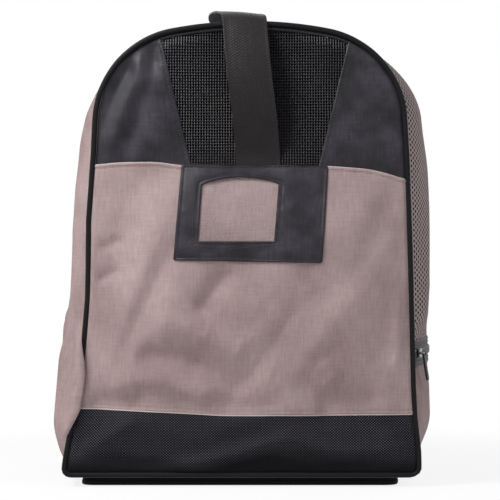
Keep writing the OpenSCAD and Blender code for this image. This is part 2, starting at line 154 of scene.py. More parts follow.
def shelfHeight(a, b, shelf):
    a0, b0, a1, b1, height, width = shelf
    da, db = (a1 - a0) * mm, (b1 - b0) * mm
    across = ((a - a0 * mm) * db - (b - b0 * mm) * da) / math.hypot(da, db)
    return height * mm * smooth(across / (width * mm) + 0.5)


# the way the cloth of each face hangs, in mm: lines are x, z to x, z, then height and width
faceHang = dict(
    crown=2.5, crownReach=40, back=0.7,
    shelf=(-140, 132, -77, 285, 18, 44), sink=6,
    belly=(170, 58, 10),     # below the first height the cloth falls back, to the second, by the third
    creases=[
        (-112, 118, -70, 212, -4.0, 10), (-42, 158, -18, 194, -6.4, 10), (-78, 150, -36, 142, 4.0, 11),
        (-36, 142, -2, 122, 4.2, 11), (-92, 120, -44, 116, -6.0, 10), (-44, 116, -6, 88, -7.0, 11),
        (-118, 90, -76, 99, 4.4, 10), (-76, 99, -34, 80, 5.0, 10), (-9, 78, 45, 159, -2.4, 8),
        (40, 98, 96, 176, 3.0, 12), (82, 96, 70, 112, 2.8, 8), (138, 110, 141, 170, 3.0, 8),
        (-136, 215, -112, 222, -3.0, 5), (-138, 186, -116, 196, -3.0, 5), (70, 74, 118, 76, -5.4, 13),
        (-140, 74, -92, 80, -5.4, 11), (-60, 76, 30, 72, -3.4, 9), (20, 200, 90, 236, 2.4, 16),
        (96, 190, 128, 262, -2.4, 12), (-46, 196, -40, 296, 2.0, 12), (42, 196, 34, 296, 2.2, 13),
    ],
    baseCreases=[
        (-60, 15, 38, 43, 4.8, 7), (38, 43, 84, 32, 4.4, 6), (84, 32, 148, 35, 3.8, 7),
        (-140, 30, -100, 60, 3.8, 8), (-121, 26, -66, 18, -3.4, 7), (20, 60, 130, 58, -2.6, 9),
        (-95, 58, -30, 40, 3.0, 9), (126, 48, 132, 22, 3.0, 7), (-30, 52, 20, 62, 2.2, 8),
    ],
    cornerCreases=[
        (-90, 300, -66, 408, 4.0, 24), (90, 300, 66, 408, 4.0, 24),
        (-128, 300, -96, 372, 3.0, 9), (-112, 300, -84, 396, -2.8, 8), (-136, 330, -110, 385, -3.0, 8),
        (122, 300, 88, 380, -2.6, 9), (132, 318, 112, 372, 2.6, 9), (-80, 330, -104, 392, 2.2, 8),
    ],
)


# how far the cloth of the front (side -1) or the back (side 1) stands out, past its flat place
def hang(side, x, z):
    x = np.asarray(x, float) if side < 0 else -np.asarray(x, float)
    z = np.asarray(z, float)
    inward = seamDistance(x, z)
    broad = faceHang["crown"] * mm * (1 - np.exp(-inward / (faceHang["crownReach"] * mm)))
    full = shelfHeight(x, z, faceHang["shelf"]) - faceHang["sink"] * mm
    full = full * smooth((canvasHigh.z + 14 * mm - z) / (75 * mm))
    bellyFrom, bellyTo, bellyDrop = faceHang["belly"]
    full = full - bellyDrop * mm * smooth((bellyFrom * mm - z) / ((bellyFrom - bellyTo) * mm))
    fine = 1.0 * mm * unevenness(x, z, 60 * mm, 11)
    for creases in ("creases", "baseCreases", "cornerCreases"):
        fine = fine + creaseHeight(x, z, faceHang[creases])
    # each fades out within its own distance of the seam, in mm
    total = 0
    for part, reach in ((broad, 16), (full, 55), (fine, 15)):
        total = total + part * smooth(inward / (reach * mm))
    return total * (1 if side < 0 else faceHang["back"])


# a point of the front or back, "out" metres outside the lining's outer face
def facePoint(side, x, z, out):
    y = side * (-liningY + out + hang(side, x, z))
    return np.stack([x, y, z], -1)


gussetHang = dict(
    lowRun=50 * mm, flatRun=12 * mm,
    # mm by which a side stands out more (or less) than a plain bulge: height, middle of the depth
    fullness={
        1: ((150, 0), (180, 3), (250, 3), (300, 1.5), (330, 0)),
        -1: ((12, 0), (25, 4), (40, 4), (60, 3), (110, 3), (142, 0), (170, -2.5), (190, -2), (230, 0),
             (270, -1.5), (290, -3.5), (312, -5), (330, -7), (350, -9)),
    },
    roll={1: 5, -1: 3},      # mm by which the cloth rolls out close beside the pipings
    # along the depth and up the side: y, z to y, z, height, width
    left=[
        (-112, 90, -102, 150, -6.0, 6), (-94, 20, -90, 128, 4.4, 8), (-124, 120, -118, 180, 3.0, 6),
        (-70, 25, -40, 150, -3.8, 12), (10, 20, 30, 165, 3.2, 14), (80, 25, 60, 140, -4.0, 12),
        (-110, 190, -60, 330, 3.0, 16), (-20, 210, 60, 350, -3.0, 18), (110, 60, 118, 220, 3.0, 10),
        (-135, 140, -100, 158, -2.2, 7), (-60, 135, 40, 150, 2.4, 12), (30, 60, 96, 36, -2.8, 9),
    ],
    right=[
        (-110, 150, -60, 300, 2.4, 16), (-20, 170, 50, 330, -2.8, 18), (70, 150, 95, 300, 2.6, 16),
        (-90, 30, -60, 90, -3.0, 9), (0, 25, 24, 96, 2.8, 12), (86, 24, 70, 92, -2.8, 10),
    ],
)


def bulgeAt(s):
    low = 0.4 + 0.6 * smooth(s / gussetHang["lowRun"])
    high = 1 - smooth((s - sideLength) / (mouthAt - gussetHang["flatRun"] - sideLength))
    return bag["bulge"] * np.minimum(low, high)


def bulgeOut(s, y):
    b = np.maximum(bulgeAt(s), 1e-6)
    radius = (gussetHalf ** 2 + b ** 2) / (2 * b)
    return np.sqrt(np.maximum(radius ** 2 - y ** 2, 0)) - (radius - b)


coilLow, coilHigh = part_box("side_zip_coil")
zipZ = (coilLow.z + coilHigh.z) / 2 - bag["bulge"] * math.sin(bag["lean"]) / 2
zipS = (zipZ - footZ) / math.cos(bag["lean"])


# a point of a gusset; hand is 1 on the right, -1 on the left; "out" is past its outer face
def gussetPoint(hand, s, y, out, creased=1.0):
    x, z = seamPoint(s)
    turn = seamTurn(s)
    # the lower corners are rounded, most of all at the front and back
    drop = np.clip(footZ + bag["foot"] - z, 0, bag["foot"])
    near = smooth((np.abs(y) - gussetHalf + 30 * mm) / (30 * mm))
    x = x - (bag["foot"] - np.sqrt(bag["foot"] ** 2 - drop ** 2)) * near
    across = np.clip(np.abs(y) / gussetHalf, 0, 1)
    edge = smooth((gussetHalf - np.abs(y)) / (22 * mm))
    lines = gussetHang["right"] if hand > 0 else gussetHang["left"]
    loose = creaseHeight(y, z, lines) + 0.7 * mm * unevenness(y, z, 70 * mm, 5 + hand)
    quiet = 1 - smooth((s - mouthAt + 60 * mm) / (50 * mm))
    if hand > 0:
        quiet = quiet * smooth((np.abs(s - zipS) - 14 * mm) / (22 * mm))
    fullness = np.interp(z / mm, *np.array(gussetHang["fullness"][hand], float).T) * mm * (1 - across ** 2)
    roll = gussetHang["roll"][hand] * mm * 4 * (across ** 2 - across ** 4) * smooth(s / (40 * mm))
    stand = bulgeOut(s, y) - bag["edgeIn"] + out + (loose * edge + fullness + roll) * quiet * creased
    return np.stack([hand * (x + stand * np.cos(turn)), y + 0 * x, z + stand * np.sin(turn)], -1)


# the bag has slumped to the left, and its front corners are pulled a little out of line:
# rows of height and mm to the right
slump = dict(
    foot=-8, height=0.3,
    left=((0, -4.5), (25, -3.5), (45, -1.5), (71, 2.2), (96, 3.4), (126, 4.4), (170, 4.2), (200, 2.6),
          (240, 0)),
    right=((0, 1), (8, 1.5), (13, 3.5), (32, 3.5), (62, 1), (90, 0)),
)


def slumped(points):
    points = np.array(points, float)
    x, y, z = points[:, 0].copy(), points[:, 1], points[:, 2] / mm
    points[:, 0] += slump["foot"] * mm * np.clip(1 - points[:, 2] / slump["height"], 0, 1) ** 1.3
    front = smooth((-y - 100 * mm) / (35 * mm))
    for hand, line in ((-1, slump["left"]), (1, slump["right"])):
        pull = np.interp(z, *np.array(line, float).T) * mm
        points[:, 0] += pull * front * smooth((hand * x - 95 * mm) / (45 * mm))
    return points


print("bag: mouth", round(mouthAt, 4), "seam", round(seamLength, 4), "side zip at", round(zipZ, 4))


def makeObject(name, points, faces, flat=None, sharp=50):
    mesh = bpy.data.meshes.new(name)
    mesh.from_pydata(slumped(points).tolist(), [], [list(map(int, f)) for f in faces])
    if flat is not None:
        layer = mesh.uv_layers.new(name="cloth")
        corners = np.empty(len(mesh.loops), np.int32)
        mesh.loops.foreach_get("vertex_index", corners)
        layer.data.foreach_set("uv", np.asarray(flat, np.float32)[corners].ravel())
    work = bmesh.new()
    work.from_mesh(mesh)
    bmesh.ops.remove_doubles(work, verts=work.verts, dist=0.004 * mm)
    bmesh.ops.dissolve_degenerate(work, edges=work.edges, dist=0.004 * mm)
    bmesh.ops.recalc_face_normals(work, faces=work.faces)
    work.to_mesh(mesh)
    work.free()
    mesh.shade_smooth()
    mesh.set_sharp_from_angle(angle=math.radians(sharp))
    made = bpy.data.objects.new(name, mesh)
    bpy.context.scene.collection.objects.link(made)
    return made


# a closed sheet of cloth from surface(u, v, inward), with the flat cloth's own measure from flatAt(u, v)
def sheetParts(surface, flatAt, us, vs, thickness):
    u, v = np.meshgrid(us, vs, indexing="ij")
    outer, inner = surface(u, v, 0.0), surface(u, v, thickness)
    nu, nv = u.shape
    index = np.arange(nu * nv).reshape(nu, nv)
    quads = np.stack([index[:-1, :-1], index[1:, :-1], index[1:, 1:], index[:-1, 1:]], -1).reshape(-1, 4)
    count = nu * nv
    border = np.concatenate([index[:, 0], index[-1, 1:], index[-2::-1, -1], index[0, -2:0:-1]])
    following = np.roll(border, -1)
    sides = np.stack([border, border + count, following + count, following], -1)
    faces = np.concatenate([quads, quads[:, ::-1] + count, sides])
    flat = flatAt(u, v).reshape(-1, 2)
    return np.concatenate([outer.reshape(-1, 3), inner.reshape(-1, 3)]), faces, np.concatenate([flat, flat])


def joinParts(parts):
    points, faces, flats, start = [], [], [], 0
    for partPoints, partFaces, partFlat in parts:
        points.append(partPoints)
        faces += [[int(i) + start for i in face] for face in partFaces]
        flats.append(partFlat)
        start += len(partPoints)
    return np.concatenate(points), faces, np.concatenate(flats)


def clothSheet(name, surface, flatAt, us, vs, thickness):
    return makeObject(name, *sheetParts(surface, flatAt, us, vs, thickness))


# a smooth curve through values given at stations
def splineAt(stations, values, where):
    k = np.clip(np.searchsorted(stations, where, side="right") - 1, 0, len(stations) - 2)
    gap = stations[k + 1] - stations[k]
    t = (where - stations[k]) / gap
    before, after = np.maximum(k - 1, 0), np.minimum(k + 2, len(stations) - 1)
    slopeA = (values[k + 1] - values[before]) / (stations[k + 1] - stations[before]) * gap
    slopeB = (values[after] - values[k]) / (stations[after] - stations[k]) * gap
    t2, t3 = t * t, t ** 3
    return ((2 * t3 - 3 * t2 + 1) * values[k] + (t3 - 2 * t2 + t) * slopeA
            + (-2 * t3 + 3 * t2) * values[k + 1] + (t3 - t2) * slopeB)


# stations packed more closely at both ends, where cloth is hemmed
def edged(low, high, count, ends, rows):
    inner = np.linspace(low + (high - low) * ends, high - (high - low) * ends, count)
    start = low + (high - low) * ends * (np.arange(rows) / rows)
    return np.concatenate([start, inner, (low + high) - start[::-1]])


# a round tube along a path; facing is a direction that is never along the path
def tubeParts(path, radius, sides, facing, closed=False):
    path = np.asarray(path, float)
    if closed:
        ahead, behind = np.roll(path, -1, 0), np.roll(path, 1, 0)
    else:
        ahead, behind = np.vstack([path[1:], path[-1:]]), np.vstack([path[:1], path[:-1]])
    along = ahead - behind
    step = np.linalg.norm(np.diff(path, axis=0, append=path[:1]), axis=1)
    length = np.concatenate([[0], np.cumsum(step)[:-1]])
    along /= np.linalg.norm(along, axis=1, keepdims=True)
    across = np.cross(along, np.asarray(facing, float))
    across /= np.linalg.norm(across, axis=1, keepdims=True)
    up = np.cross(across, along)
    turn = 2 * math.pi * (np.arange(sides) + 0.5) / sides
    radius = np.broadcast_to(np.asarray(radius, float), (len(path),))
    ring = across[:, None] * np.cos(turn)[:, None] + up[:, None] * np.sin(turn)[:, None]
    points = (path[:, None] + ring * radius[:, None, None]).reshape(-1, 3)
    rows = len(path)
    faces = []
    for i in range(rows if closed else rows - 1):
        a, b = i * sides, ((i + 1) % rows) * sides
        faces += [[a + k, b + k, b + (k + 1) % sides, a + (k + 1) % sides] for k in range(sides)]
    flat = np.stack([np.repeat(length, sides), np.tile(turn * radius.mean(), rows)], -1)
    return points, faces, flat


# faces between stacked rings of equal count, closed at both ends
def stackFaces(count, layers):
    faces = []
    for k in range(layers - 1):
        a, b = k * count, (k + 1) * count
        faces += [[a + i, a + (i + 1) % count, b + (i + 1) % count, b + i] for i in range(count)]
    last = (layers - 1) * count
    return faces + [list(range(count - 1, -1, -1)), list(range(last, last + count))]


def capped(parts, sides):
    points, faces, flat = parts
    last = len(points) - sides
    faces = [list(f) for f in faces] + [list(range(sides)), list(range(last + sides - 1, last - 1, -1))]
    return points, faces, flat


def spaced(path, step):
    path = np.asarray(path, float)
    run = np.concatenate([[0], np.cumsum(np.linalg.norm(np.diff(path, axis=0), axis=1))])
    count = max(2, int(round(run[-1] / step)) + 1)
    where = np.linspace(0, run[-1], count)
    return np.stack([np.interp(where, run, path[:, k]) for k in range(3)], -1)


# a row of lockstitches along a path that lies on the cloth; up is away from the cloth. Each stitch is a thread
# that comes up, lies over the cloth and goes down again: share of its length, width and height in radii
thread = dict(
    pitch=3.4 * mm, radius=0.33 * mm, sides=6, lift=0.05 * mm,
    shape=((0.0, 0.45, -0.55), (0.14, 0.95, 0.15), (0.5, 1.0, 0.42), (0.86, 0.95, 0.15), (1.0, 0.45, -0.55)),
)


def stitchParts(path, up):
    fine = spaced(path, thread["pitch"] / 4)
    up = np.asarray(up, float)
    turn = 2 * math.pi * np.arange(thread["sides"]) / thread["sides"]
    faces = stackFaces(thread["sides"], len(thread["shape"]))
    stitches = []
    for i in range(0, len(fine) - 4, 4):
        start, along = fine[i], fine[i + 3] - fine[i]
        size = np.linalg.norm(along)
        along = along / size
        across = np.cross(along, up)
        rings = []
        for t, wide, lift in thread["shape"]:
            centre = start + along * size * t + up * lift * thread["radius"]
            ring = (across * np.cos(turn)[:, None] + up * np.sin(turn)[:, None]) * thread["radius"] * wide
            rings.append(centre + ring)
        points = np.concatenate(rings)
        stitches.append((points, faces, points[:, [0, 2]]))
    return joinParts(stitches)


def sewRows(name, rows, material, body, slot):
    return attach(makeObject(name, *joinParts([stitchParts(*row) for row in rows])), material, body, slot)


def attach(piece, material, body, slot, *standsFor, bend=None):
    piece.data.materials.append(material)
    if bend:
        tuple(bend[1])
        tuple(bend[2])
        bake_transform(piece)
    else:
        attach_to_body(piece, body)
    if standsFor:
        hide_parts(*standsFor)
    return piece


# materials
def linear(code):
    parts = [int(code[i:i + 2], 16) / 255 for i in (1, 3, 5)]
    return tuple(c / 12.92 if c <= 0.04045 else ((c + 0.055) / 1.055) ** 2.4 for c in parts) + (1.0,)


def addNode(tree, kind, inputs=(), **settings):
    made = tree.nodes.new("ShaderNode" + kind)
    for key, value in settings.items():
        setattr(made, key, value)
    for key, value in dict(inputs).items():
        if isinstance(value, bpy.types.NodeSocket):
            tree.links.new(value, made.inputs[key])
        else:
            made.inputs[key].default_value = value
    return made


def newMaterial(name):
    material = bpy.data.materials.new(name)
    material.use_nodes = True
    material.node_tree.nodes.clear()
    return material, material.node_tree


def finishMaterial(tree, shader):
    addNode(tree, "OutputMaterial", {"Surface": shader.outputs[0]})


def calc(tree, operation, *values):
    return addNode(tree, "Math", dict(enumerate(values)), operation=operation).outputs[0]


# woven cloth: crossing threads of uneven thickness, and a slow change of tone over the cloth
def wovenCloth(name, look):
    material, tree = newMaterial(name)
    place = addNode(tree, "TexCoord").outputs["UV"]
    split = addNode(tree, "SeparateXYZ", {0: place})
    pitch = (look["pitch"], look.get("pitchV", look["pitch"]))
    waves = [calc(tree, "SINE", calc(tree, "MULTIPLY", split.outputs[axis], math.pi / p))
             for axis, p in zip("XY", pitch)]
    height = calc(tree, "MULTIPLY_ADD", calc(tree, "MULTIPLY", *waves), 0.5, 0.5)
    slubs = []
    for across, along in ((pitch[0] * 1.6, pitch[1] * 14), (pitch[0] * 14, pitch[1] * 1.6)):
        long = addNode(tree, "VectorMath", {0: place, 1: (1 / across, 1 / along, 1)}, operation="MULTIPLY")
        noise = addNode(tree, "TexNoise", {"Vector": long.outputs[0], "Scale": 1.0, "Detail": 2.0})
        slubs.append(noise.outputs[0])
    slub = calc(tree, "ADD", calc(tree, "MULTIPLY", slubs[0], 1.2), calc(tree, "MULTIPLY", slubs[1], 0.8))
    slow = addNode(tree, "TexNoise", {"Vector": place, "Scale": look.get("patches", 14.0), "Detail": 3.0})
    tone = addNode(tree, "MapRange", {0: slow.outputs[0], 1: 0.35, 2: 0.65})
    base = addNode(tree, "Mix", {0: tone.outputs[0], 6: linear(look["dark"]), 7: linear(look["light"])},
                   data_type="RGBA")
    # painted highlight: the crowns of the threads are painted in a lighter colour, as if they caught the light
    crown = addNode(tree, "MapRange", {
        0: height, 1: look.get("paintedGlintFrom", 0.6), 2: 1.0, 4: look.get("paintedGlintTone", 0.0)})
    paintedGlintShare = crown.outputs[0]
    if "shadedFootTo" in look:                               # painted shade: below a wavy line the painted highlights are left out, so the cloth is darker towards the foot
        spot = addNode(tree, "TexCoord").outputs["Object"]
        wave = addNode(tree, "TexNoise", {"Vector": spot, "Scale": 13.0, "Detail": 1.0})
        above = calc(tree, "MULTIPLY_ADD", wave.outputs[0], -look["shadedFootWave"],
                     addNode(tree, "SeparateXYZ", {0: spot}).outputs["Z"])
        clear = addNode(tree, "MapRange", {0: above, 1: look["shadedFootTo"], 2: look["shadedFootTo"] + 12 * mm})
        paintedGlintShare = calc(tree, "MULTIPLY", paintedGlintShare, clear.outputs[0])
    paintedGlintColour = linear(look.get("crown", look["light"]))
    paintedGlintMix = addNode(tree, "Mix", {0: paintedGlintShare, 6: base.outputs[2], 7: paintedGlintColour}, data_type="RGBA")
    threadTone = calc(tree, "MULTIPLY_ADD", height, look["threadTone"], 1 - look["threadTone"] / 2)
    slubTone = calc(tree, "MULTIPLY_ADD", calc(tree, "SUBTRACT", slub, 1.0), look["slub"], 1.0)
    shade = addNode(tree, "VectorMath", {0: paintedGlintMix.outputs[2]}, operation="SCALE")
    tree.links.new(calc(tree, "MULTIPLY", threadTone, slubTone), shade.inputs["Scale"])
    bump = addNode(tree, "Bump", {"Height": calc(tree, "ADD", slub, height), "Strength": look["bump"],
                                  "Distance": look["relief"]})
    shader = addNode(tree, "BsdfPrincipled", {
        "Base Color": shade.outputs[0], "Roughness": look["roughness"], "Normal": bump.outputs[0],
        "Sheen Weight": look.get("sheen", 0.0), "Sheen Roughness": 0.4, "IOR": 1.45,
        "Sheen Tint": linear(look["light"]), "Specular IOR Level": look.get("specular", 0.3)})
    finishMaterial(tree, shader)
    return material


# 600 denier polyester canvas, plain woven and dyed taupe: matt, with an uneven grain of threads.
# The threads are drawn at 1.1 mm, where the real ones are 0.5 mm, so that they show
taupeCanvas = wovenCloth("TaupeCanvas", dict(
    pitch=1.1 * mm, dark="#958180", light="#a99694", threadTone=0.25, slub=0.38, bump=0.6,
    relief=0.14 * mm, roughness=0.95, sheen=0.05, specular=0.05))
# plain woven polyester in charcoal: smoother than the canvas, with a cool soft sheen and cloudy patches where
# it has been handled. The threads are drawn at 1.1 mm, coarser than the real ones, so that they show
charcoalPolyester = wovenCloth("CharcoalPolyester", dict(
    pitch=1.1 * mm, dark="#19171c", light="#353139", threadTone=0.5, slub=0.9, bump=0.5, patches=40.0,
    relief=0.14 * mm, roughness=0.42, sheen=0.03, specular=0.3))
# the same cloth with a coated back, used doubled for trim: darker and stiffer, with a weaker shine
trimPolyester = wovenCloth("TrimPolyester", dict(
    pitch=1.1 * mm, dark="#151316", light="#272429", threadTone=0.5, slub=0.8, bump=0.5, patches=40.0,
    relief=0.14 * mm, roughness=0.5, sheen=0.03, specular=0.22))
# ballistic nylon, basket woven from thick filament yarns and coated: near black, with painted highlights in
# grey on the crowns of the yarns, and painted shade towards the foot, where these painted highlights are left
# out. The yarns are drawn at 1.3 mm by 1.2 mm, a little coarser than the real ones, so that they show
ballisticCloth = wovenCloth("BallisticCloth", dict(
    pitch=1.3 * mm, pitchV=1.2 * mm, dark="#0d0d10", light="#131316", crown="#6d6a73", paintedGlintFrom=0.68,
    paintedGlintTone=0.9, shadedFootTo=0, shadedFootWave=40 * mm, threadTone=0.6, slub=0.4, bump=0.8, relief=0.3 * mm,
    roughness=0.55, specular=0.08))
# thin proofed nylon, plain woven: dull and nearly black, so that the inside stays dark. The threads are drawn
# at 0.8 mm, coarser than the real ones
liningCloth = wovenCloth("LiningCloth", dict(
    pitch=0.8 * mm, dark="#141315", light="#1b1a1d", threadTone=0.2, slub=0.4, bump=0.4,
    relief=0.08 * mm, roughness=0.85, specular=0.1))
# polyester binding and zip tape, woven in ribs: dull, with fine cross lines that catch a little light
ribbedTape = wovenCloth("RibbedTape", dict(
    pitch=1.1 * mm, pitchV=0.7 * mm, dark="#1a191c", light="#232226", threadTone=0.4, slub=0.4, bump=0.6,
    relief=0.15 * mm, roughness=0.6))
# polypropylene webbing, woven in steep ribs from flat slippery yarns: it shines along its bends. The ribs are
# drawn at 2.1 mm, a little coarser than the real ones, so that they show
strapWebbing = wovenCloth("StrapWebbing", dict(
    pitch=2.1 * mm, pitchV=1.3 * mm, dark="#141012", light="#1d181b", threadTone=0.6, slub=0.8, bump=0.8,
    relief=0.3 * mm, roughness=0.44, sheen=0.05, specular=0.27))
# open-cell polyurethane foam, cut from a block: pale and dull, with an open grain
paddingFoam = wovenCloth("PaddingFoam", dict(
    pitch=2.5 * mm, dark="#c9c2b6", light="#d8d2c8", threadTone=0.1, slub=0.4, bump=0.6,
    relief=0.3 * mm, roughness=0.95))


# smooth or lightly textured solid: moulded rubber, nylon, vinyl-coated yarn and lacquered metal
def solidFinish(name, look):
    material, tree = newMaterial(name)
    place = addNode(tree, "TexCoord")
    spot = place.outputs["Object"]
    grain = addNode(tree, "TexNoise", {"Vector": spot, "Scale": 1 / look["grain"], "Detail": 3.0})
    worn = addNode(tree, "TexNoise", {"Vector": spot, "Scale": 22.0, "Detail": 2.0})
    base = addNode(tree, "Mix", {0: worn.outputs[0], 6: linear(look["dark"]), 7: linear(look["light"])},
                   data_type="RGBA")
    bump = addNode(tree, "Bump", {
        "Height": grain.outputs[0], "Strength": look["bump"], "Distance": look["relief"]})
    rough = look["roughness"]
    roughness = addNode(tree, "MapRange", {0: grain.outputs[0], 3: rough - 0.08, 4: rough + 0.08})
    shader = addNode(tree, "BsdfPrincipled", {
        "Base Color": base.outputs[2], "Roughness": roughness.outputs[0], "Normal": bump.outputs[0],
        "Coat Weight": look.get("coat", 0.0), "Coat Roughness": 0.15, "IOR": 1.5,
        "Specular IOR Level": look.get("specular", 0.25)})
    finishMaterial(tree, shader)
    return material


# polyester yarn sleeved in vinyl: round and smooth, with a short soft highlight on every strand
meshYarn = solidFinish("VinylMeshYarn", dict(
    grain=1 * mm, dark="#1f1e21", light="#2a292d", bump=0.2, relief=0.05 * mm, roughness=0.4, specular=0.2))
# coated cloth wrapped round a cord: near black, with the cloth's grain under the coating and little shine
pipingCloth = solidFinish("CoatedPiping", dict(
    grain=0.8 * mm, dark="#0f0e10", light="#181618", bump=0.6, relief=0.15 * mm, roughness=0.5,
    specular=0.12))
# moulded rubber: dense black and dull, with the fine grain of its mould
skidRubber = solidFinish("MouldedRubber", dict(
    grain=1.2 * mm, dark="#0f0f10", light="#161618", bump=0.4, relief=0.1 * mm, roughness=0.65, specular=0.1))
# polyester sheet coated on both faces: black and smooth, with a slight waxy shine
baseCloth = solidFinish("CoatedBaseCloth", dict(
    grain=1.5 * mm, dark="#121214", light="#19191b", bump=0.5, relief=0.15 * mm, roughness=0.55,
    specular=0.15))
# pressed fibre board: dark grey and quite dull, with a coarse flecked face
hardBoard = solidFinish("HardBoard", dict(
    grain=2 * mm, dark="#2b2a2c", light="#343336", bump=0.4, relief=0.1 * mm, roughness=0.8))
# drawn nylon, dyed black and wound hot: hard and smooth, so that each turn has its own small highlight
nylonCoil = solidFinish("NylonCoil", dict(
    grain=1 * mm, dark="#1e1d20", light="#29282b", bump=0.1, relief=0.02 * mm, roughness=0.3))
# die-cast zinc under black lacquer: a hard even skin with crisp highlights along its edges
lacqueredZinc = solidFinish("LacqueredZinc", dict(
    grain=1.5 * mm, dark="#1f1f21", light="#2c2c2f", bump=0.1, relief=0.02 * mm, roughness=0.28, coat=0.5))
# soft moulded rubber: charcoal and matt, so that its grip ribs show by their shadows
pullRubber = solidFinish("PullRubber", dict(
    grain=0.8 * mm, dark="#17171a", light="#212124", bump=0.4, relief=0.06 * mm, roughness=0.5))
# spun polyester thread dyed to match the canvas: matt, so that a stitch shows by its shadow and not its colour
taupeThread = solidFinish("TaupeThread", dict(
    grain=0.4 * mm, dark="#978783", light="#a89995", bump=0.5, relief=0.1 * mm, roughness=0.75,
    specular=0.05))
# painted highlight: a pale hairline along the canvas's folded edges, where the folds catch the light
paintedFoldHighlight = solidFinish("PaintedFoldHighlight", dict(
    grain=0.6 * mm, dark="#bfb1ae", light="#d0c4c1", bump=0.5, relief=0.1 * mm, roughness=0.85,
    specular=0.05))
# spun polyester thread in black: a shade lighter than the cloths that it is sewn through, so that it shows
blackThread = solidFinish("BlackThread", dict(
    grain=0.4 * mm, dark="#2e2d31", light="#3d3c41", bump=0.5, relief=0.1 * mm, roughness=0.6))


# spacer mesh: two knitted faces with round holes on a staggered grid, painted near black: the dark backing
# behind them, with painted shade in the holes
def spacerMesh(name, look):
    material, tree = newMaterial(name)
    place = addNode(tree, "TexCoord")
    split = addNode(tree, "SeparateXYZ", {0: place.outputs["UV"]})
    u, v = split.outputs["X"], split.outputs["Y"]
    turns = []
    for cu, cv in ((1.0, 0.0), (0.5, math.sqrt(3) / 2), (0.5, -math.sqrt(3) / 2)):
        mixed = calc(tree, "MULTIPLY_ADD", v, cv, calc(tree, "MULTIPLY", u, cu))
        turns.append(calc(tree, "COSINE", calc(tree, "MULTIPLY", mixed, 2 * math.pi / look["pitch"])))
    total = calc(tree, "ADD", calc(tree, "ADD", turns[0], turns[1]), turns[2])
    shadedHole = addNode(tree, "MapRange", {0: total, 1: look["edge"], 2: look["edge"] + 0.9},
                   interpolation_type="SMOOTHSTEP")
    slow = addNode(tree, "TexNoise", {"Vector": place.outputs["UV"], "Scale": 14.0, "Detail": 3.0})
    cloth = addNode(tree, "Mix", {0: slow.outputs[0], 6: linear(look["dark"]), 7: linear(look["light"])},
                    data_type="RGBA")
    # painted shade: the holes take a near-black colour, darker than the backing that shows through them
    base = addNode(tree, "Mix", {0: shadedHole.outputs[0], 6: cloth.outputs[2], 7: linear(look["inside"])},
                   data_type="RGBA")
    bump = addNode(tree, "Bump", {"Height": calc(tree, "MULTIPLY", shadedHole.outputs[0], -1.0), "Strength": 0.8,
                                  "Distance": look["relief"]})
    shader = addNode(tree, "BsdfPrincipled", {
        "Base Color": base.outputs[2], "Roughness": 0.95, "Normal": bump.outputs[0],
        "Specular IOR Level": 0.08})
    finishMaterial(tree, shader)
    return material


# polyester spacer mesh, knitted and dyed taupe: matt, and dotted with dark holes. The rows of holes are 4.2 mm
# apart, a little coarser than the real ones, so that they show
taupeSpacer = spacerMesh("TaupeSpacerMesh", dict(
    pitch=4.2 * mm, edge=0.2, dark="#a08f8e", light="#b09f9e", inside="#0c0a0b", relief=0.8 * mm))


# soft clear vinyl film: nearly unseen, with a faint milky shine from fine scratches
def clearVinyl(name):
    material, tree = newMaterial(name)
    scratches = addNode(tree, "TexNoise", {"Scale": 60.0, "Detail": 4.0})
    roughness = addNode(tree, "MapRange", {0: scratches.outputs[0], 3: 0.3, 4: 0.45})
    shader = addNode(tree, "BsdfPrincipled", {
        "Base Color": linear("#b0a6a4"), "Roughness": roughness.outputs[0], "Alpha": 0.05, "IOR": 1.5})
    finishMaterial(tree, shader)
    return material


clearFilm = clearVinyl("ClearVinyl")
print("materials:", len(bpy.data.materials))


# the whole seam line, from the middle of the foot to the top, as points with their outward turn
flatSteps, cornerSteps, sideSteps = 59, 30, 700
footX = halfFoot - bag["foot"] * (math.tan(bag["lean"]) + 1 / math.cos(bag["lean"]))
footTurns = np.linspace(-math.pi / 2, bag["lean"], cornerSteps)
sideStations = np.linspace(bag["foot"] * 1.06, seamLength, sideSteps)
sideX, sideZ = seamPoint(sideStations)
flatX = np.linspace(0, footX, flatSteps + 1)[:-1]
rimX = np.concatenate([flatX, footX + bag["foot"] * np.cos(footTurns), sideX])
rimZ = np.concatenate([flatX * 0 + footZ, footZ + bag["foot"] + bag["foot"] * np.sin(footTurns), sideZ])
rimTurn = np.concatenate([flatX * 0 - math.pi / 2, footTurns, seamTurn(sideStations)])
rimRun = np.concatenate([[0], np.cumsum(np.hypot(np.diff(rimX), np.diff(rimZ)))])
footRun = float(rimRun[flatSteps + cornerSteps // 2])    # half way round the foot's corner
apexRun = float(rimRun[-1])


def rim(run, hand, inset=0.0):
    turn = np.interp(run, rimRun, rimTurn)
    x = np.interp(run, rimRun, rimX) - inset * np.cos(turn)
    z = np.interp(run, rimRun, rimZ) - inset * np.sin(turn)
    return np.stack([hand * x, z], -1)


def runAt(z):
    return float(np.interp(z, rimZ[flatSteps:], rimRun[flatSteps:]))


# the two seams that cross each face aren't level: x, and mm above the CAD line
seamSlope = dict(
    lap=((-140, -1.5), (-118, 0.8), (-84, 1.2), (-62, -2.2), (-26, -2.6), (70, -2.6), (106, -5.2),
         (123, -9), (141, -15)),
    base=((-150, 3), (-60, -1), (-20, -3.5), (60, -3.5), (150, -2.5)),
)


def seamHeight(level, rows, x, side):
    # the back is steadier than the front
    x = -side * np.asarray(x, float) / mm
    rise = np.interp(x, *np.array(rows, float).T)
    for step in (4, -4, 8, -8):
        rise = rise + np.interp(x + step, *np.array(rows, float).T)
    return level + rise / 5 * mm * (1 if side < 0 else 0.35)


def lapLine(x, side=-1):
    return seamHeight(canvasHigh.z, seamSlope["lap"], x, side)


def baseLine(x, side=-1):
    return seamHeight(canvasLow.z, seamSlope["base"], x, side)


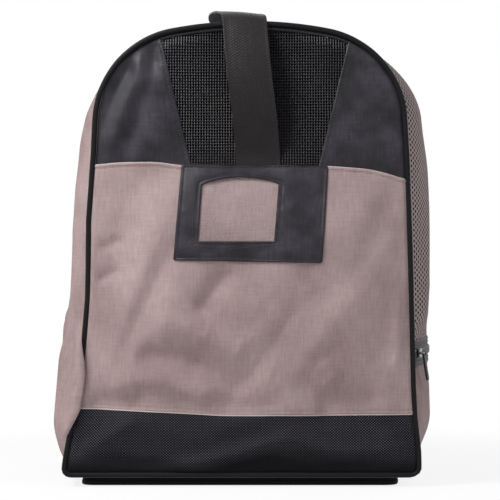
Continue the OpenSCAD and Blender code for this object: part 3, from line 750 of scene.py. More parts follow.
# a curved patch between four edges; bottom and top take u, left and right take v
def patchPoint(edges, u, v):
    bottom, top, left, right = edges
    u, v = np.asarray(u, float)[..., None], np.asarray(v, float)[..., None]
    ends = [bottom(np.array(t)) for t in (0.0, 1.0)] + [top(np.array(t)) for t in (0.0, 1.0)]
    point = (1 - v) * bottom(u[..., 0]) + v * top(u[..., 0])
    point = point + (1 - u) * left(v[..., 0]) + u * right(v[..., 0])
    for share, end in zip(((1 - u) * (1 - v), u * (1 - v), (1 - u) * v, u * v), ends):
        point = point - share * end
    return point


def rimEdge(runA, runB, hand, inset):
    return lambda t: rim(runA + (runB - runA) * t, hand, inset)


# an edge along a line of heights, from one x to another
def levelEdge(height, xA, xB, offset=0.0):
    def edge(t):
        x = xA + (xB - xA) * t
        return np.stack([x, height(x) + offset], -1)
    return edge


def straightEdge(a, b):
    a, b = np.asarray(a, float), np.asarray(b, float)
    return lambda t: a + (b - a) * np.asarray(t)[..., None]


# cloth that is folded under and stitched: a rolled edge, a groove at the stitches and faint puckers
hem = dict(
    roll=0.6, rollWidth=1.3, edge=0.5, edgeWidth=0.5, stitchIn=3.4, groove=0.35, grooveWidth=0.8,
    pucker=0.28, puckerLength=9, puckerIn=4.9, puckerReach=6,
)


def hemRelief(distance, along, seed, weight=1.0):
    d = distance / mm
    roll = hem["roll"] * np.exp(-((d - hem["rollWidth"]) / hem["rollWidth"]) ** 2)
    roll = roll - hem["edge"] * np.exp(-(d / hem["edgeWidth"]) ** 2)
    groove = hem["groove"] * np.exp(-((d - hem["stitchIn"]) / hem["grooveWidth"]) ** 2)
    pucker = hem["pucker"] * unevenness(along, along * 0, hem["puckerLength"] * mm, seed, 7) * 2
    pucker = pucker * np.exp(-((d - hem["puckerIn"]) / hem["puckerReach"]) ** 2)
    return (roll - groove + pucker) * weight * mm


# panels of the front and the back; relief gives how far a point stands out of the plain cloth
def facePanel(name, side, edges, us, vs, out, thickness, relief=None):
    def surface(u, v, inward):
        flat = patchPoint(edges, u, v)
        x, z = flat[..., 0], flat[..., 1]
        extra = relief(x, z) if relief else 0.0
        return facePoint(side, x, z, out + extra - inward)
    return clothSheet(name, surface, lambda u, v: patchPoint(edges, u, v), us, vs, thickness)


# where the cloth goes into the seam under the piping
def seamTuck(x, z, depth=1.6):
    return -depth * mm * (1 - smooth((seamDistance(x, z) - panelInset) / (4.5 * mm)))


faceName = {-1: "front", 1: "back"}
finish = dict(liningThickness=1.6 * mm, foamThickness=1.7 * mm, foamGap=0.1 * mm)
lapSide = runAt(canvasHigh.z)
panelInset = 0.9 * mm                                    # the cloth that shows runs in under the piping
innerInset = bag["edgeIn"]


def sideEdge(height, hand, inset, side, offset):
    # the run on the seam where a crossing seam meets it
    x = halfWidth(height(hand * 0.14, side), inset)
    return runAt(float(height(hand * x, side)) + offset)


def faceBand(side, low, high, inset, lowOff=0.0, highOff=0.0):
    runs = {(k, hand): sideEdge(line, hand, inset, side, off)
            for k, line, off in ((0, low, lowOff), (1, high, highOff)) for hand in (-1, 1)}
    ends = {key: rim(run, key[1], inset)[0] for key, run in runs.items()}
    bottom = levelEdge(lambda x: low(x, side), ends[0, -1], ends[0, 1], lowOff)
    top = levelEdge(lambda x: high(x, side), ends[1, -1], ends[1, 1], highOff)
    return (bottom, top, *(rimEdge(runs[0, hand], runs[1, hand], hand, inset) for hand in (-1, 1)))


# the lower part of a face, down to the foot with its rounded corners
def footBand(side, high, inset, highOff):
    left, right = (sideEdge(high, hand, inset, side, highOff) for hand in (-1, 1))
    ends = rim(left, -1, inset)[0], rim(right, 1, inset)[0]

    def bottom(t):
        run = (np.asarray(t) * 2 - 1) * footRun
        return rim(np.abs(run), 1, inset) * np.stack([np.where(run < 0, -1, 1), np.ones_like(run)], -1)
    return (bottom, levelEdge(lambda x: high(x, side), *ends, highOff),
            rimEdge(footRun, left, -1, inset), rimEdge(footRun, right, 1, inset))


def hemRows(count, reach, length):
    # stations from a hem inwards: close together over the hem, then even
    close = np.linspace(0, reach / length, 14)
    return np.concatenate([close, np.linspace(reach / length, 1, count)[1:]])


canvasLength = canvasHigh.z - canvasLow.z
for side in (-1, 1):
    face = faceName[side]
    lining = facePanel(
        face + "_lining", side, footBand(side, lapLine, innerInset, -4.5 * mm),
        np.linspace(0, 1, 74), np.linspace(0, 1, 70), 0.0, finish["liningThickness"])
    attach(lining, liningCloth, "bag", "lining_cloth", face + "_lining")

    foam = facePanel(
        face + "_foam", side, faceBand(side, baseLine, lapLine, innerInset + 4 * mm, 2 * mm, -11 * mm),
        np.linspace(0, 1, 60), np.linspace(0, 1, 50), finish["foamGap"] + finish["foamThickness"],
        finish["foamThickness"])
    attach(foam, paddingFoam, "bag", "padding_foam", face + "_foam")

    def canvasRelief(x, z, side=side):
        top, bottom = lapLine(x, side) - z, z - baseLine(x, side)
        return hemRelief(top, x, 3) + hemRelief(bottom, x, 4, 0.9) + seamTuck(x, z)
    rows = hemRows(60, 8 * mm, canvasLength)
    rows = np.concatenate([rows[rows < 0.5], 1 - rows[rows < 0.5][::-1]])
    canvas = facePanel(
        face + "_canvas", side, faceBand(side, baseLine, lapLine, panelInset), edged(0, 1, 116, 0.018, 6),
        rows, canvasOut, bag["canvas"], canvasRelief)
    attach(canvas, taupeCanvas, "bag", "taupe_canvas", face + "_canvas")

    def baseRelief(x, z, side=side):
        under = smooth((z - baseLine(x, side) + 3 * mm) / (3.5 * mm))
        return seamTuck(x, z) - 1.3 * mm * under
    base = facePanel(
        face + "_base_panel", side, footBand(side, baseLine, panelInset, 5 * mm), edged(0, 1, 116, 0.018, 6),
        np.linspace(0, 1, 44), canvasOut - 0.35 * mm, 1.4 * mm, baseRelief)
    attach(base, ballisticCloth, "bag", "ballistic_cloth", face + "_base_panel")

    across = np.linspace(-0.5, 0.5, 300)
    rowsOfThread = []
    for line, offset in ((lapLine, -hem["stitchIn"] * mm), (baseLine, hem["stitchIn"] * mm)):
        x = across * 2 * (halfWidth(float(line(0.0)), panelInset) - 3 * mm)
        z = line(x, side) + offset
        lift = canvasOut + canvasRelief(x, z) + thread["lift"]
        rowsOfThread.append((facePoint(side, x, z, lift), (0, side, 0)))
    sewRows(face + "_canvas_stitches", rowsOfThread, taupeThread, "bag", "taupe_canvas")
    # pale cords along the canvas's top and bottom folds: a painted highlight on the folded edges
    cords = []
    for line, offset, radius in ((lapLine, 0.1 * mm, 0.4 * mm), (baseLine, -0.2 * mm, 0.65 * mm)):
        x = across * 2 * (halfWidth(float(line(0.0)), panelInset) - 1.5 * mm)
        z = line(x, side)
        path = facePoint(side, x, z + offset, canvasOut + canvasRelief(x, z) - 0.2 * mm)
        cords.append(capped(tubeParts(path, radius, 8, (0, side, 0)), 8))
    attach(makeObject(face + "_canvas_fold_highlight", *joinParts(cords)), paintedFoldHighlight, "bag", "taupe_canvas")
print("face panels, linings and foam")


# upper front: charcoal corners with a mesh window between them
window = dict(
    shift=4.5 * mm, slope=0.238, half=58 * mm,
    upright=2.4 * mm, cross=2.6 * mm, uprightRadius=0.55 * mm, crossRadius=0.36 * mm, tape=4.5 * mm,
)


def windowEdgeX(z, hand, grow=0.0):
    return hand * (window["half"] + window["slope"] * (z - canvasHigh.z) + grow) + window["shift"]


# the run along the seam where the window's edge meets it, and the point there
def windowMeets(hand, grow, inset):
    runs = np.linspace(lapSide, apexRun, 3000)
    points = rim(runs, hand, inset)
    gap = hand * (points[:, 0] - windowEdgeX(points[:, 1], hand, grow))
    at = int(np.argmax(gap < 0))
    return runs[at], points[at]


for hand, which in ((-1, "left"), (1, "right")):
    endRun, endPoint = windowMeets(hand, 0.0, panelInset)
    startRun = sideEdge(lapLine, hand, panelInset, -1, -5 * mm)
    startPoint = rim(startRun, hand, panelInset)
    low = float(lapLine(hand * 0.08)) - 5 * mm
    inner = np.array([windowEdgeX(low, hand), low])
    edges = (levelEdge(lapLine, inner[0], startPoint[0], -5 * mm),
             lambda t, p=endPoint: p + 0 * np.asarray(t)[..., None],
             straightEdge(inner, endPoint), rimEdge(startRun, endRun, hand, panelInset))

    def relief(x, z, hand=hand):
        fromWindow = hand * (x - windowEdgeX(z, hand)) * math.cos(math.atan(window["slope"]))
        doubled = 0.3 * mm * (1 - smooth((fromWindow - 6 * mm) / (3 * mm)))
        return hemRelief(fromWindow, z, 8 + hand, 0.7) + doubled + seamTuck(x, z, 0.9) + 0.1 * mm
    corner = facePanel("front_corner_" + which, -1, edges, hemRows(30, 8 * mm, 70 * mm),
                       np.linspace(0, 1, 60), 0.0, bag["cloth"], relief)
    attach(corner, charcoalPolyester, "bag", "black_polyester", "front_corner_" + which)
    z = np.linspace(inner[1] + 6 * mm, endPoint[1] - 4 * mm, 200)
    x = windowEdgeX(z, hand, hem["stitchIn"] * mm)
    path = facePoint(-1, x, z, relief(x, z) + thread["lift"])
    sewRows("corner_stitches_" + which, [(path, (0, -1, 0))], blackThread, "bag", "black_polyester_trim")


# vinyl-coated mesh: thick uprights and thinner crossing yarns that meet in small knots
def archTop(x, inset):
    return archCentreZ + math.sqrt((bag["arch"] - inset) ** 2 - x * x)


meshParts = []
meshLow = canvasHigh.z - 8.3 * mm
lift = -0.9 * mm
columns = np.arange(windowEdgeX(0.42, -1) - 4 * mm, windowEdgeX(0.42, 1) + 4 * mm, window["upright"])
rowHeights = np.arange(meshLow, 0.42, window["cross"])
for x in columns:
    # an upright runs from the lap, or from the corner's hem, up to the seam
    top = archTop(x, bag["edgeIn"])
    hand = 1 if x > window["shift"] else -1
    pastHem = (hand * (x - window["shift"]) - window["half"] - 4 * mm) / window["slope"]
    low = max(meshLow, canvasHigh.z + pastHem)
    if top - low < 4 * mm:
        continue
    z = rowHeights[(rowHeights > low) & (rowHeights < top)]
    z = np.unique(np.concatenate([[low], z, z + window["cross"] / 2, [top]]))
    z = z[z <= top]
    wander = x + 0.25 * mm * unevenness(np.full_like(z, x), z, 30 * mm, 21)
    knot = np.cos(2 * math.pi * (z - meshLow) / window["cross"])
    path = facePoint(-1, wander, z, lift + 0.25 * mm * knot)
    meshParts.append(capped(tubeParts(path, window["uprightRadius"] * (1 + 0.16 * knot), 5, (0, 1, 0)), 5))
for z in rowHeights:
    left, right = windowEdgeX(z, -1, 4 * mm), windowEdgeX(z, 1, 4 * mm)
    limit = math.sqrt(max((bag["arch"] - bag["edgeIn"]) ** 2 - (z - archCentreZ) ** 2, 0))
    left, right = max(left, -limit), min(right, limit)
    if right - left < 4 * mm:
        continue
    x = columns[(columns > left) & (columns < right)]
    x = np.unique(np.concatenate([[left], x, x + window["upright"] / 2, [right]]))
    x = x[x <= right]
    sag = 0.3 * mm * unevenness(x, np.full_like(x, z), 34 * mm, 23)
    path = facePoint(-1, x, z + sag, lift - 0.15 * mm)
    meshParts.append(capped(tubeParts(path, window["crossRadius"], 5, (0, 1, 0)), 5))
attach(makeObject("front_mesh_window", *joinParts(meshParts)), meshYarn, "bag", "black_mesh",
       "front_mesh_window")


# points of the seam from its left half over the top to its right half
def overTop(run, inset):
    mirrored = np.minimum(run, 2 * apexRun - run)
    return rim(mirrored, 1, inset) * np.stack([np.where(run < apexRun, -1, 1), np.ones_like(run)], -1)


# binding tape round the mesh under the top seam, and its stitches
leftRun, _ = windowMeets(-1, 0.3 * mm, panelInset)
rightRun, _ = windowMeets(1, 0.3 * mm, panelInset)


def topTape(inset):
    return lambda t: overTop(leftRun + (apexRun * 2 - rightRun - leftRun) * np.asarray(t), inset)


tapeLow, tapeHigh = topTape(panelInset + window["tape"]), topTape(panelInset)
tapeEdges = (tapeLow, tapeHigh, *(straightEdge(tapeLow(t), tapeHigh(t)) for t in (0.0, 1.0)))
tape = facePanel(
    "front_top_tape", -1, tapeEdges, np.linspace(0, 1, 90), edged(0, 1, 8, 0.12, 3), 0.6 * mm, 0.9 * mm,
    lambda x, z: 0.3 * mm * np.cos(seamDistance(x, z) / window["tape"] * 2 * math.pi))
attach(tape, trimPolyester, "bag", "black_polyester_trim")
path = topTape(panelInset + window["tape"] - 1.2 * mm)(np.linspace(0.01, 0.99, 200))
sewRows("front_top_stitches", [(facePoint(-1, path[:, 0], path[:, 1], 1.0 * mm), (0, -1, 0))], blackThread,
        "bag", "black_polyester_trim")

# the whole upper back in one panel
startRuns = {hand: sideEdge(lapLine, hand, panelInset, 1, -5 * mm) for hand in (-1, 1)}
shoulderRun = apexRun - bag["arch"] * archAngle - bag["shoulder"] * shoulderTurn * 0.45
ends = {hand: rim(startRuns[hand], hand, panelInset)[0] for hand in (-1, 1)}


def backTop(t):
    return overTop(shoulderRun + (apexRun - shoulderRun) * 2 * np.asarray(t), panelInset)


backEdges = (levelEdge(lambda x: lapLine(x, 1), ends[-1], ends[1], -5 * mm), backTop,
             *(rimEdge(startRuns[hand], shoulderRun, hand, panelInset) for hand in (-1, 1)))
backPanel = facePanel(
    "back_top_panel", 1, backEdges, edged(0, 1, 100, 0.018, 6), edged(0, 1, 60, 0.03, 5), 0.1 * mm,
    bag["cloth"], lambda x, z: seamTuck(x, z, 0.9))
attach(backPanel, charcoalPolyester, "bag", "black_polyester", "back_top_panel")
print("upper front and back")


# piping: one coated cord round each face's seam
cordWobble = dict(size=0.35 * mm, length=45 * mm)
for side in (-1, 1):
    runs = np.concatenate([np.arange(0, apexRun, 3 * mm), [apexRun]])
    right = np.stack([rim(r, 1) for r in runs])
    loop = np.concatenate([right, (right * [-1, 1])[-2:0:-1]])
    wobble = unevenness(loop[:, 0], loop[:, 1], cordWobble["length"], 31 + side) * cordWobble["size"]
    outY = side * (-liningY + bag["piping"] - bag["cloth"]) + side * 2 * wobble
    path = np.stack([loop[:, 0] + wobble * np.sign(loop[:, 0]), outY, loop[:, 1]], -1)
    parts = tubeParts(path, bag["piping"] * (1 + 0.03 * unevenness(loop[:, 0], loop[:, 1], 20 * mm, 7)), 14,
                      (0, 1, 0), closed=True)
    piping = makeObject(faceName[side] + "_piping", *parts)
    attach(piping, pipingCloth, "bag", "piping_cord", faceName[side] + "_piping")


# gussets: stations up the side and across the depth
def gussetSheet(name, hand, sA, sB, yA, yB, out, thickness, relief=None, dense=True):
    across = edged(yA, yB, max(4, int((yB - yA) / (4.5 * mm))), 0.02, 3) if dense else np.linspace(yA, yB, 24)
    up = edged(sA, sB, max(4, int((sB - sA) / (4.5 * mm))), 0.02, 3) if dense else np.linspace(sA, sB, 40)

    def surface(u, v, inward):
        extra = relief(u, v) if relief else 0.0
        return gussetPoint(hand, u, v, out + extra - inward)
    return clothSheet(name, surface, lambda u, v: np.stack([v, u], -1), up, across, thickness)


hemS = mouthAt - 0.5 * mm
startS = gussetStart - footZ
seamHalf = gussetHalf + 1.7 * mm                         # where the cloth that shows meets the piping


def edgeRoll(y):
    # the cloth turns out under the piping at its front and back edges
    return 2.3 * mm * smooth((np.abs(y) - gussetHalf + 2.5 * mm) / (4 * mm))


def slotHem(s, y, up):
    return hemRelief(up * (s - zipS) - bag["slotHalf"], y, 16, 0.8) + edgeRoll(y)


# low on the left the spare cloth of the side laps over the front piping in a loose fold: the heights between
# which it comes forward and goes across, the cloth it takes up, and its path, outward and back from the seam
leftFold = dict(
    forward=(34, 54, 128, 152), across=(42, 74, 98, 138), cloth=34, back=7.0,
    path=((0, 0), (3.2, -2.4), (2.2, -5.6), (-1.6, -6.4), (-3.8, -7.4), (-1.6, -8.8), (3.0, -8.4),
          (7.5, -3.0), (9.5, 8.0)),
)
foldPath = np.array(leftFold["path"], float) * mm
foldRun = np.concatenate([[0], np.cumsum(np.hypot(*np.diff(foldPath, axis=0).T))])
foldRun *= 0.86 / foldRun[-1]


def within(z, heights):
    low, lowFull, highFull, high = (h * mm for h in heights)
    return smooth((z - low) / (lowFull - low)) * smooth((high - z) / (high - highFull))


def foldedSide(s, y, inward):
    base = gussetPoint(-1, s, y, edgeRoll(y) - inward)
    seam = gussetPoint(-1, s, np.full_like(y, -seamHalf), edgeRoll(-seamHalf))
    part = (y + seamHalf) / (leftFold["cloth"] * mm)
    z = base[..., 2]

    def plan(at):
        outward, back = (splineAt(foldRun, foldPath[:, k], np.clip(at, 0, 1.005)) for k in (0, 1))
        aside = leftFold["back"] * mm * (1 - within(z, leftFold["across"]))
        return outward + aside * np.exp(-((at - foldRun[4]) / 0.2) ** 2), back
    (outward, back), (outward1, back1) = plan(part), plan(part + 0.005)
    size = np.hypot(outward1 - outward, back1 - back) + 1e-9
    outward, back = outward - inward * (back1 - back) / size, back + inward * (outward1 - outward) / size
    lapped = seam + np.stack([-outward, back, 0 * back], -1)
    share = within(z, leftFold["forward"]) * smooth(part / 0.05) * (1 - smooth((part - 0.72) / 0.28))
    return base + (lapped - base) * share[..., None]


leftAcross = edged(-seamHalf, seamHalf, 64, 0.02, 3)
leftAcross = np.concatenate([np.linspace(-seamHalf, -seamHalf + leftFold["cloth"] * mm, 48),
                             leftAcross[leftAcross > -seamHalf + leftFold["cloth"] * mm + 2 * mm]])
leftGusset = clothSheet("gusset_left", foldedSide, lambda u, v: np.stack([v, u], -1),
                        edged(startS, hemS, 120, 0.02, 3), leftAcross, bag["cloth"])
attach(leftGusset, taupeCanvas, "bag", "taupe_canvas", "gusset_left")
meshGusset = gussetSheet(
    "gusset_right_mesh", 1, zipS + bag["slotHalf"], hemS, -seamHalf, seamHalf, 0.0, bag["cloth"] / 2,
    lambda s, y: slotHem(s, y, 1))
attach(meshGusset, taupeSpacer, "bag", "taupe_spacer_mesh", "gusset_right_mesh")
backing = gussetSheet(
    "gusset_right_backing", 1, zipS + bag["slotHalf"], hemS, -gussetHalf, gussetHalf,
    -bag["cloth"] / 2 - 0.1 * mm, bag["cloth"] / 2 - 0.1 * mm)
attach(backing, liningCloth, "bag", "lining_cloth", "gusset_right_backing")
lowerGusset = gussetSheet(
    "gusset_right_lower", 1, startS, zipS - bag["slotHalf"], -seamHalf, seamHalf, 0.0, bag["cloth"],
    lambda s, y: slotHem(s, y, -1))
attach(lowerGusset, taupeCanvas, "bag", "taupe_canvas", "gusset_right_lower")

# the inner wall of the side pocket, and the tapes sewn over the inside seams
inside = dict(
    tapeIn=-2.2 * mm, tapeThickness=0.8 * mm, tapeWidth=10 * mm, pocketGap=0.4 * mm, pocket=0.8 * mm,
)
pocketTop = (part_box("side_pocket_lining")[1].z - footZ) / math.cos(bag["lean"])
pocket = gussetSheet(
    "side_pocket_lining", 1, startS + 4 * mm, pocketTop, -gussetHalf + 1.5 * mm, gussetHalf - 1.5 * mm,
    inside["tapeIn"] - inside["tapeThickness"] - inside["pocketGap"], inside["pocket"])
attach(pocket, liningCloth, "bag", "lining_cloth", "side_pocket_lining")


def bindingRelief(y0, y1):
    return lambda s, y: 0.15 * mm * np.cos((y - (y0 + y1) / 2) / (y1 - y0) * 4 * math.pi)


for side in (-1, 1):
    parts = []
    for hand in (-1, 1):
        y0, y1 = sorted(side * (gussetHalf - 0.6 * mm - width) for width in (0, inside["tapeWidth"]))
        up, across = np.linspace(startS + 4 * mm, hemS, 90), np.linspace(y0, y1, 9)
        relief = bindingRelief(y0, y1)
        parts.append(sheetParts(
            lambda u, v, inward, hand=hand, relief=relief:
                gussetPoint(hand, u, v, inside["tapeIn"] + relief(u, v) - inward),
            lambda u, v: np.stack([u, v], -1), up, across, inside["tapeThickness"]))
    binding = makeObject("seam_binding_" + faceName[side], *joinParts(parts))
    attach(binding, ribbedTape, "bag", "binding_tape", "seam_binding_" + faceName[side])

for hand, which in ((-1, "left"), (1, "right")):
    mouthHem = gussetSheet(
        "mouth_hem_" + which, hand, hemS - inside["tapeWidth"], hemS + 2.5 * mm, -gussetHalf + 12 * mm,
        gussetHalf - 12 * mm, inside["tapeIn"], inside["tapeThickness"], dense=False)
    attach(mouthHem, ribbedTape, "bag", "binding_tape", "mouth_hem_" + which)
    # two rows of stitches through the hem of the mouth
    y = np.linspace(-gussetHalf + 5 * mm, gussetHalf - 5 * mm, 160)
    rowsOfThread = []
    for s in (hemS - 3.5 * mm, hemS - 8.5 * mm):
        path = gussetPoint(hand, np.full_like(y, s), y, thread["lift"])
        turn = float(seamTurn(s))
        rowsOfThread.append((path, (hand * math.cos(turn), 0, math.sin(turn))))
    sewRows("mouth_stitches_" + which, rowsOfThread, taupeThread, "bag", "taupe_canvas")

# black tape that edges the right gusset beside both pipings: real tape, and partly painted shade, as its dark
# band stands for the shade beside the piping
for side in (-1, 1):
    y0, y1 = sorted((side * (gussetHalf + 1.2 * mm), side * (gussetHalf - 7.5 * mm)))
    edgeTapeAndShade = gussetSheet(
        "gusset_edge_tape_" + faceName[side], 1, startS + 1 * mm, hemS - 1 * mm, y0, y1, 0.9 * mm, 0.8 * mm,
        lambda s, y: edgeRoll(y)
        + 0.45 * mm * np.cos((np.abs(y) - gussetHalf + 4.5 * mm) / (9 * mm) * 4 * math.pi) * 0.6)
    attach(edgeTapeAndShade, trimPolyester, "bag", "black_polyester_trim")
print("gussets, bindings and piping")


# card holder: a puckered frame of doubled cloth with an arched window
holder = dict(
    corners=((-67, 204), (66.5, 201.5), (70.5, 289), (-61.5, 290)), radius=1,
    window=((-45, 221), (23, 221), (26, 273), (-42.5, 272)), arch=6, windowRadius=1, thickness=1.1 * mm,
)
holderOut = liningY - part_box("card_holder_frame")[1].y      # inner face, outside the lining


def roundedLoop(corners, radius, arch=0.0):
    # a four-cornered loop with rounded corners and, if asked, an arched top edge
    corners = np.array(corners, float) * mm
    points = []
    for i in range(4):
        a, b, c = corners[i - 1], corners[i], corners[(i + 1) % 4]
        toA, toC = (a - b) / np.linalg.norm(a - b), (c - b) / np.linalg.norm(c - b)
        start, end = b + toA * radius * mm, b + toC * radius * mm
        t = np.linspace(0, 1, 8)[:, None]
        points.append((1 - t) ** 2 * start + 2 * t * (1 - t) * b + t ** 2 * end)
        if i == 2 and arch:
            run = np.linspace(0, 1, 16)[1:-1, None]
            back = corners[2] - corners[3]
            nextStart = corners[3] + back / np.linalg.norm(back) * radius * mm
            rise = arch * mm * np.sin(run * math.pi) ** 0.8
            points.append(end + (nextStart - end) * run + rise * [0, 1])
    return np.concatenate(points)


def loopAt(loop, turns, centre):
    # the point of a star-shaped loop in each direction from the centre
    offset = loop - centre
    angle = np.unwrap(np.arctan2(offset[:, 1], offset[:, 0]))
    angle = np.concatenate([angle - 2 * math.pi, angle, angle + 2 * math.pi])
    distance = np.tile(np.hypot(offset[:, 0], offset[:, 1]), 3)
    x, z = np.cos(angle) * distance, np.sin(angle) * distance
    return np.stack([centre[0] + np.interp(turns, angle, x), centre[1] + np.interp(turns, angle, z)], -1)


outerLoop = roundedLoop(holder["corners"], holder["radius"])
innerLoop = roundedLoop(holder["window"], holder["windowRadius"], holder["arch"])
holderCentre = np.array(holder["window"], float).mean(0) * mm
ringTurns = np.linspace(0, 2 * math.pi, 241)


def holderFlat(around, inwards):
    outer = loopAt(outerLoop, around, holderCentre)
    inner = loopAt(innerLoop, around, holderCentre)
    return outer + (inner - outer) * np.asarray(inwards)[..., None]


def holderRelief(around, inwards):
    outer, inner = loopAt(outerLoop, around, holderCentre), loopAt(innerLoop, around, holderCentre)
    width = np.linalg.norm(outer - inner, axis=-1)
    edge = hemRelief(inwards * width, around * 60 * mm, 41, 0.9)
    lip = hemRelief((1 - inwards) * width, around * 40 * mm, 42, 1.1)
    soft = 0.9 * mm * np.sin(np.clip(inwards, 0, 1) * math.pi)
    # the arched top edge of the window stands off the film
    stand = 1.3 * mm * np.exp(-((around - math.pi / 2) / 0.7) ** 2) * smooth(inwards * 1.2 - 0.2)
    return edge + lip + soft + stand + 0.45 * mm * unevenness(around * 50 * mm, inwards * width, 26 * mm, 43)


def holderSurface(u, v, inward):
    flat = holderFlat(u, v)
    out = holderOut + holder["thickness"] + holderRelief(u, v) - inward
    return facePoint(-1, flat[..., 0], flat[..., 1], out)


ringAcross = np.concatenate([
    np.linspace(0, 0.22, 12), np.linspace(0.22, 0.75, 8)[1:], np.linspace(0.75, 1, 11)[1:]])
u, v = np.meshgrid(ringTurns[:-1], ringAcross, indexing="ij")
outerFace, innerFace = holderSurface(u, v, 0.0), holderSurface(u, v, holder["thickness"])
nu, nv = u.shape
index = np.arange(nu * nv).reshape(nu, nv)
ahead = np.roll(index, -1, 0)
quads = np.stack([index[:, :-1], ahead[:, :-1], ahead[:, 1:], index[:, 1:]], -1).reshape(-1, 4)
count = nu * nv
edges = [np.stack([index[:, k], ahead[:, k], ahead[:, k] + count, index[:, k] + count], -1) for k in (0, -1)]
flat = holderFlat(u, v).reshape(-1, 2)
frameRing = makeObject(
    "card_holder_frame", np.concatenate([outerFace.reshape(-1, 3), innerFace.reshape(-1, 3)]),
    np.concatenate([quads, quads[:, ::-1] + count, *edges]), np.concatenate([flat, flat]))
attach(frameRing, charcoalPolyester, "bag", "black_polyester", "card_holder_frame")

filmTurns = np.linspace(0, 2 * math.pi, 97)
inner = loopAt(innerLoop, filmTurns[:-1], holderCentre)
spread = np.array([0.25, 0.5, 0.75, 1.0])
rings = holderCentre + (inner[:, None] - holderCentre) * spread[None, :, None] * 1.04
filmPoints = np.concatenate([[holderCentre], rings.reshape(-1, 2)])
filmFaces = []
n = len(inner)
for i in range(n):
    j = (i + 1) % n
    filmFaces.append([0, 1 + i * 4, 1 + j * 4])
    for k in range(3):
        filmFaces.append([1 + i * 4 + k, 2 + i * 4 + k, 2 + j * 4 + k, 1 + j * 4 + k])
film = dict(out=holderOut + 0.15 * mm, thickness=0.3 * mm)
front = facePoint(-1, filmPoints[:, 0], filmPoints[:, 1], film["out"] + film["thickness"])
back = facePoint(-1, filmPoints[:, 0], filmPoints[:, 1], film["out"])
total = len(filmPoints)
allFaces = filmFaces + [[k + total for k in reversed(f)] for f in filmFaces]
border = [4 + i * 4 for i in range(n)]
allFaces += [[a, b, b + total, a + total] for a, b in zip(border, border[1:] + border[:1])]
filmPiece = makeObject("card_window_film", np.concatenate([front, back]), allFaces,
                       np.concatenate([filmPoints, filmPoints]))
attach(filmPiece, clearFilm, "bag", "clear_film", "card_window_film")

rowsOfThread = []
for inwards in (hem["stitchIn"] * mm, -hem["stitchIn"] * mm, -hem["stitchIn"] * mm - 3 * mm):
    turns = np.linspace(0, 2 * math.pi, 260)
    outer, inner = loopAt(outerLoop, turns, holderCentre), loopAt(innerLoop, turns, holderCentre)
    width = np.linalg.norm(outer - inner, axis=-1)
    v = inwards / width if inwards > 0 else 1 + inwards / width
    rowsOfThread.append((holderSurface(turns, v, -thread["lift"]), (0, -1, 0)))
sewRows("card_holder_stitches", rowsOfThread, blackThread, "bag", "black_polyester_trim")
print("card holder")


# base: a moulded rubber skid with a waist, a coated sheet and the stiff board inside
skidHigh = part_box("base_skid")[1]
skid = dict(corner=12 * mm, edge=2.2 * mm)


def roundedRect(halfX, halfY, radius, steps=10):
    loop = []
    for k, (sx, sy) in enumerate(((1, -1), (1, 1), (-1, 1), (-1, -1))):
        x, y = sx * (halfX - radius), sy * (halfY - radius)
        for t in np.linspace(0, math.pi / 2, steps):
            turn = t - math.pi / 2 + k * math.pi / 2
            loop.append((x + radius * math.cos(turn), y + radius * math.sin(turn)))
    return np.array(loop)


def layeredSolid(name, layers):
    points = np.concatenate(layers)
    return makeObject(name, points, stackFaces(len(layers[0]), len(layers)), points[:, :2], sharp=35)


halfX, halfY = skidHigh.x, skidHigh.y
edge, top = skid["edge"], skidHigh.z
rings = []
for t in np.linspace(0, math.pi / 2, 6):
    inset = edge * (1 - math.sin(t))
    rings.append((inset, edge * (1 - math.cos(t))))
rings += [(0, top * 0.55), (0.5 * mm, top * 0.62), (0.5 * mm, top * 0.74), (0, top * 0.8),
          (0, top - 0.8 * mm), (0.8 * mm, top)]
layers = []
for inset, z in rings:
    loop = roundedRect(halfX - inset, halfY - inset, skid["corner"] - inset * 0.5)
    layers.append(np.column_stack([loop, np.full(len(loop), z)]))
skidPiece = layeredSolid("base_skid", layers)
attach(skidPiece, skidRubber, "bag", "skid_rubber", "base_skid")

baseLow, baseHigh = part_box("base_panel")
boardLow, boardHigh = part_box("base_board")
baseSteps = 30                                           # points along each side of the base's outline


def baseOutline(inset, reach):
    ys = np.linspace(-1, 1, baseSteps) * (gussetHalf - inset + reach)
    xs = gussetPoint(1, np.full(baseSteps, startS), ys, -inset, 0.0)[:, 0]
    right = np.stack([xs, ys], -1)
    return np.concatenate([right, -right])


def baseSolid(name, low, high, inset, rounding, reach=0.0):
    layers = [np.column_stack([baseOutline(inset + a, reach), np.full(2 * baseSteps, z)]) for a, z in (
        (rounding, low), (0, low + rounding), (0, high - rounding), (rounding, high))]
    return layeredSolid(name, layers)


attach(baseSolid("base_panel", baseLow.z, baseHigh.z, 0.5 * mm, 0.6 * mm, 2 * mm), baseCloth, "bag",
       "coated_base_cloth", "base_panel")
attach(baseSolid("base_board", boardLow.z, boardHigh.z, 8 * mm, 0.5 * mm), hardBoard, "bag", "base_board",
       "base_board")
print("base")


# zips: nylon coil of separate turns on woven tape
zipParts = dict(
    gap=1.4 * mm, tapeWidth=11 * mm, tapeUp=0.2 * mm, tapeThickness=0.6 * mm, coilWidth=2.5 * mm,
    coilUp=0.9 * mm, coilHeight=1.5 * mm, pitch=2.1 * mm, stop=(1.25 * mm, 3 * mm, 0.7 * mm),
)


def tapeRelief(across):
    # a cord along the outer edge and a channel where the tape is sewn
    d = across / mm
    return (0.35 * np.exp(-((d - 10.2) / 0.8) ** 2) - 0.2 * np.exp(-((d - 6.5) / 0.9) ** 2)) * mm


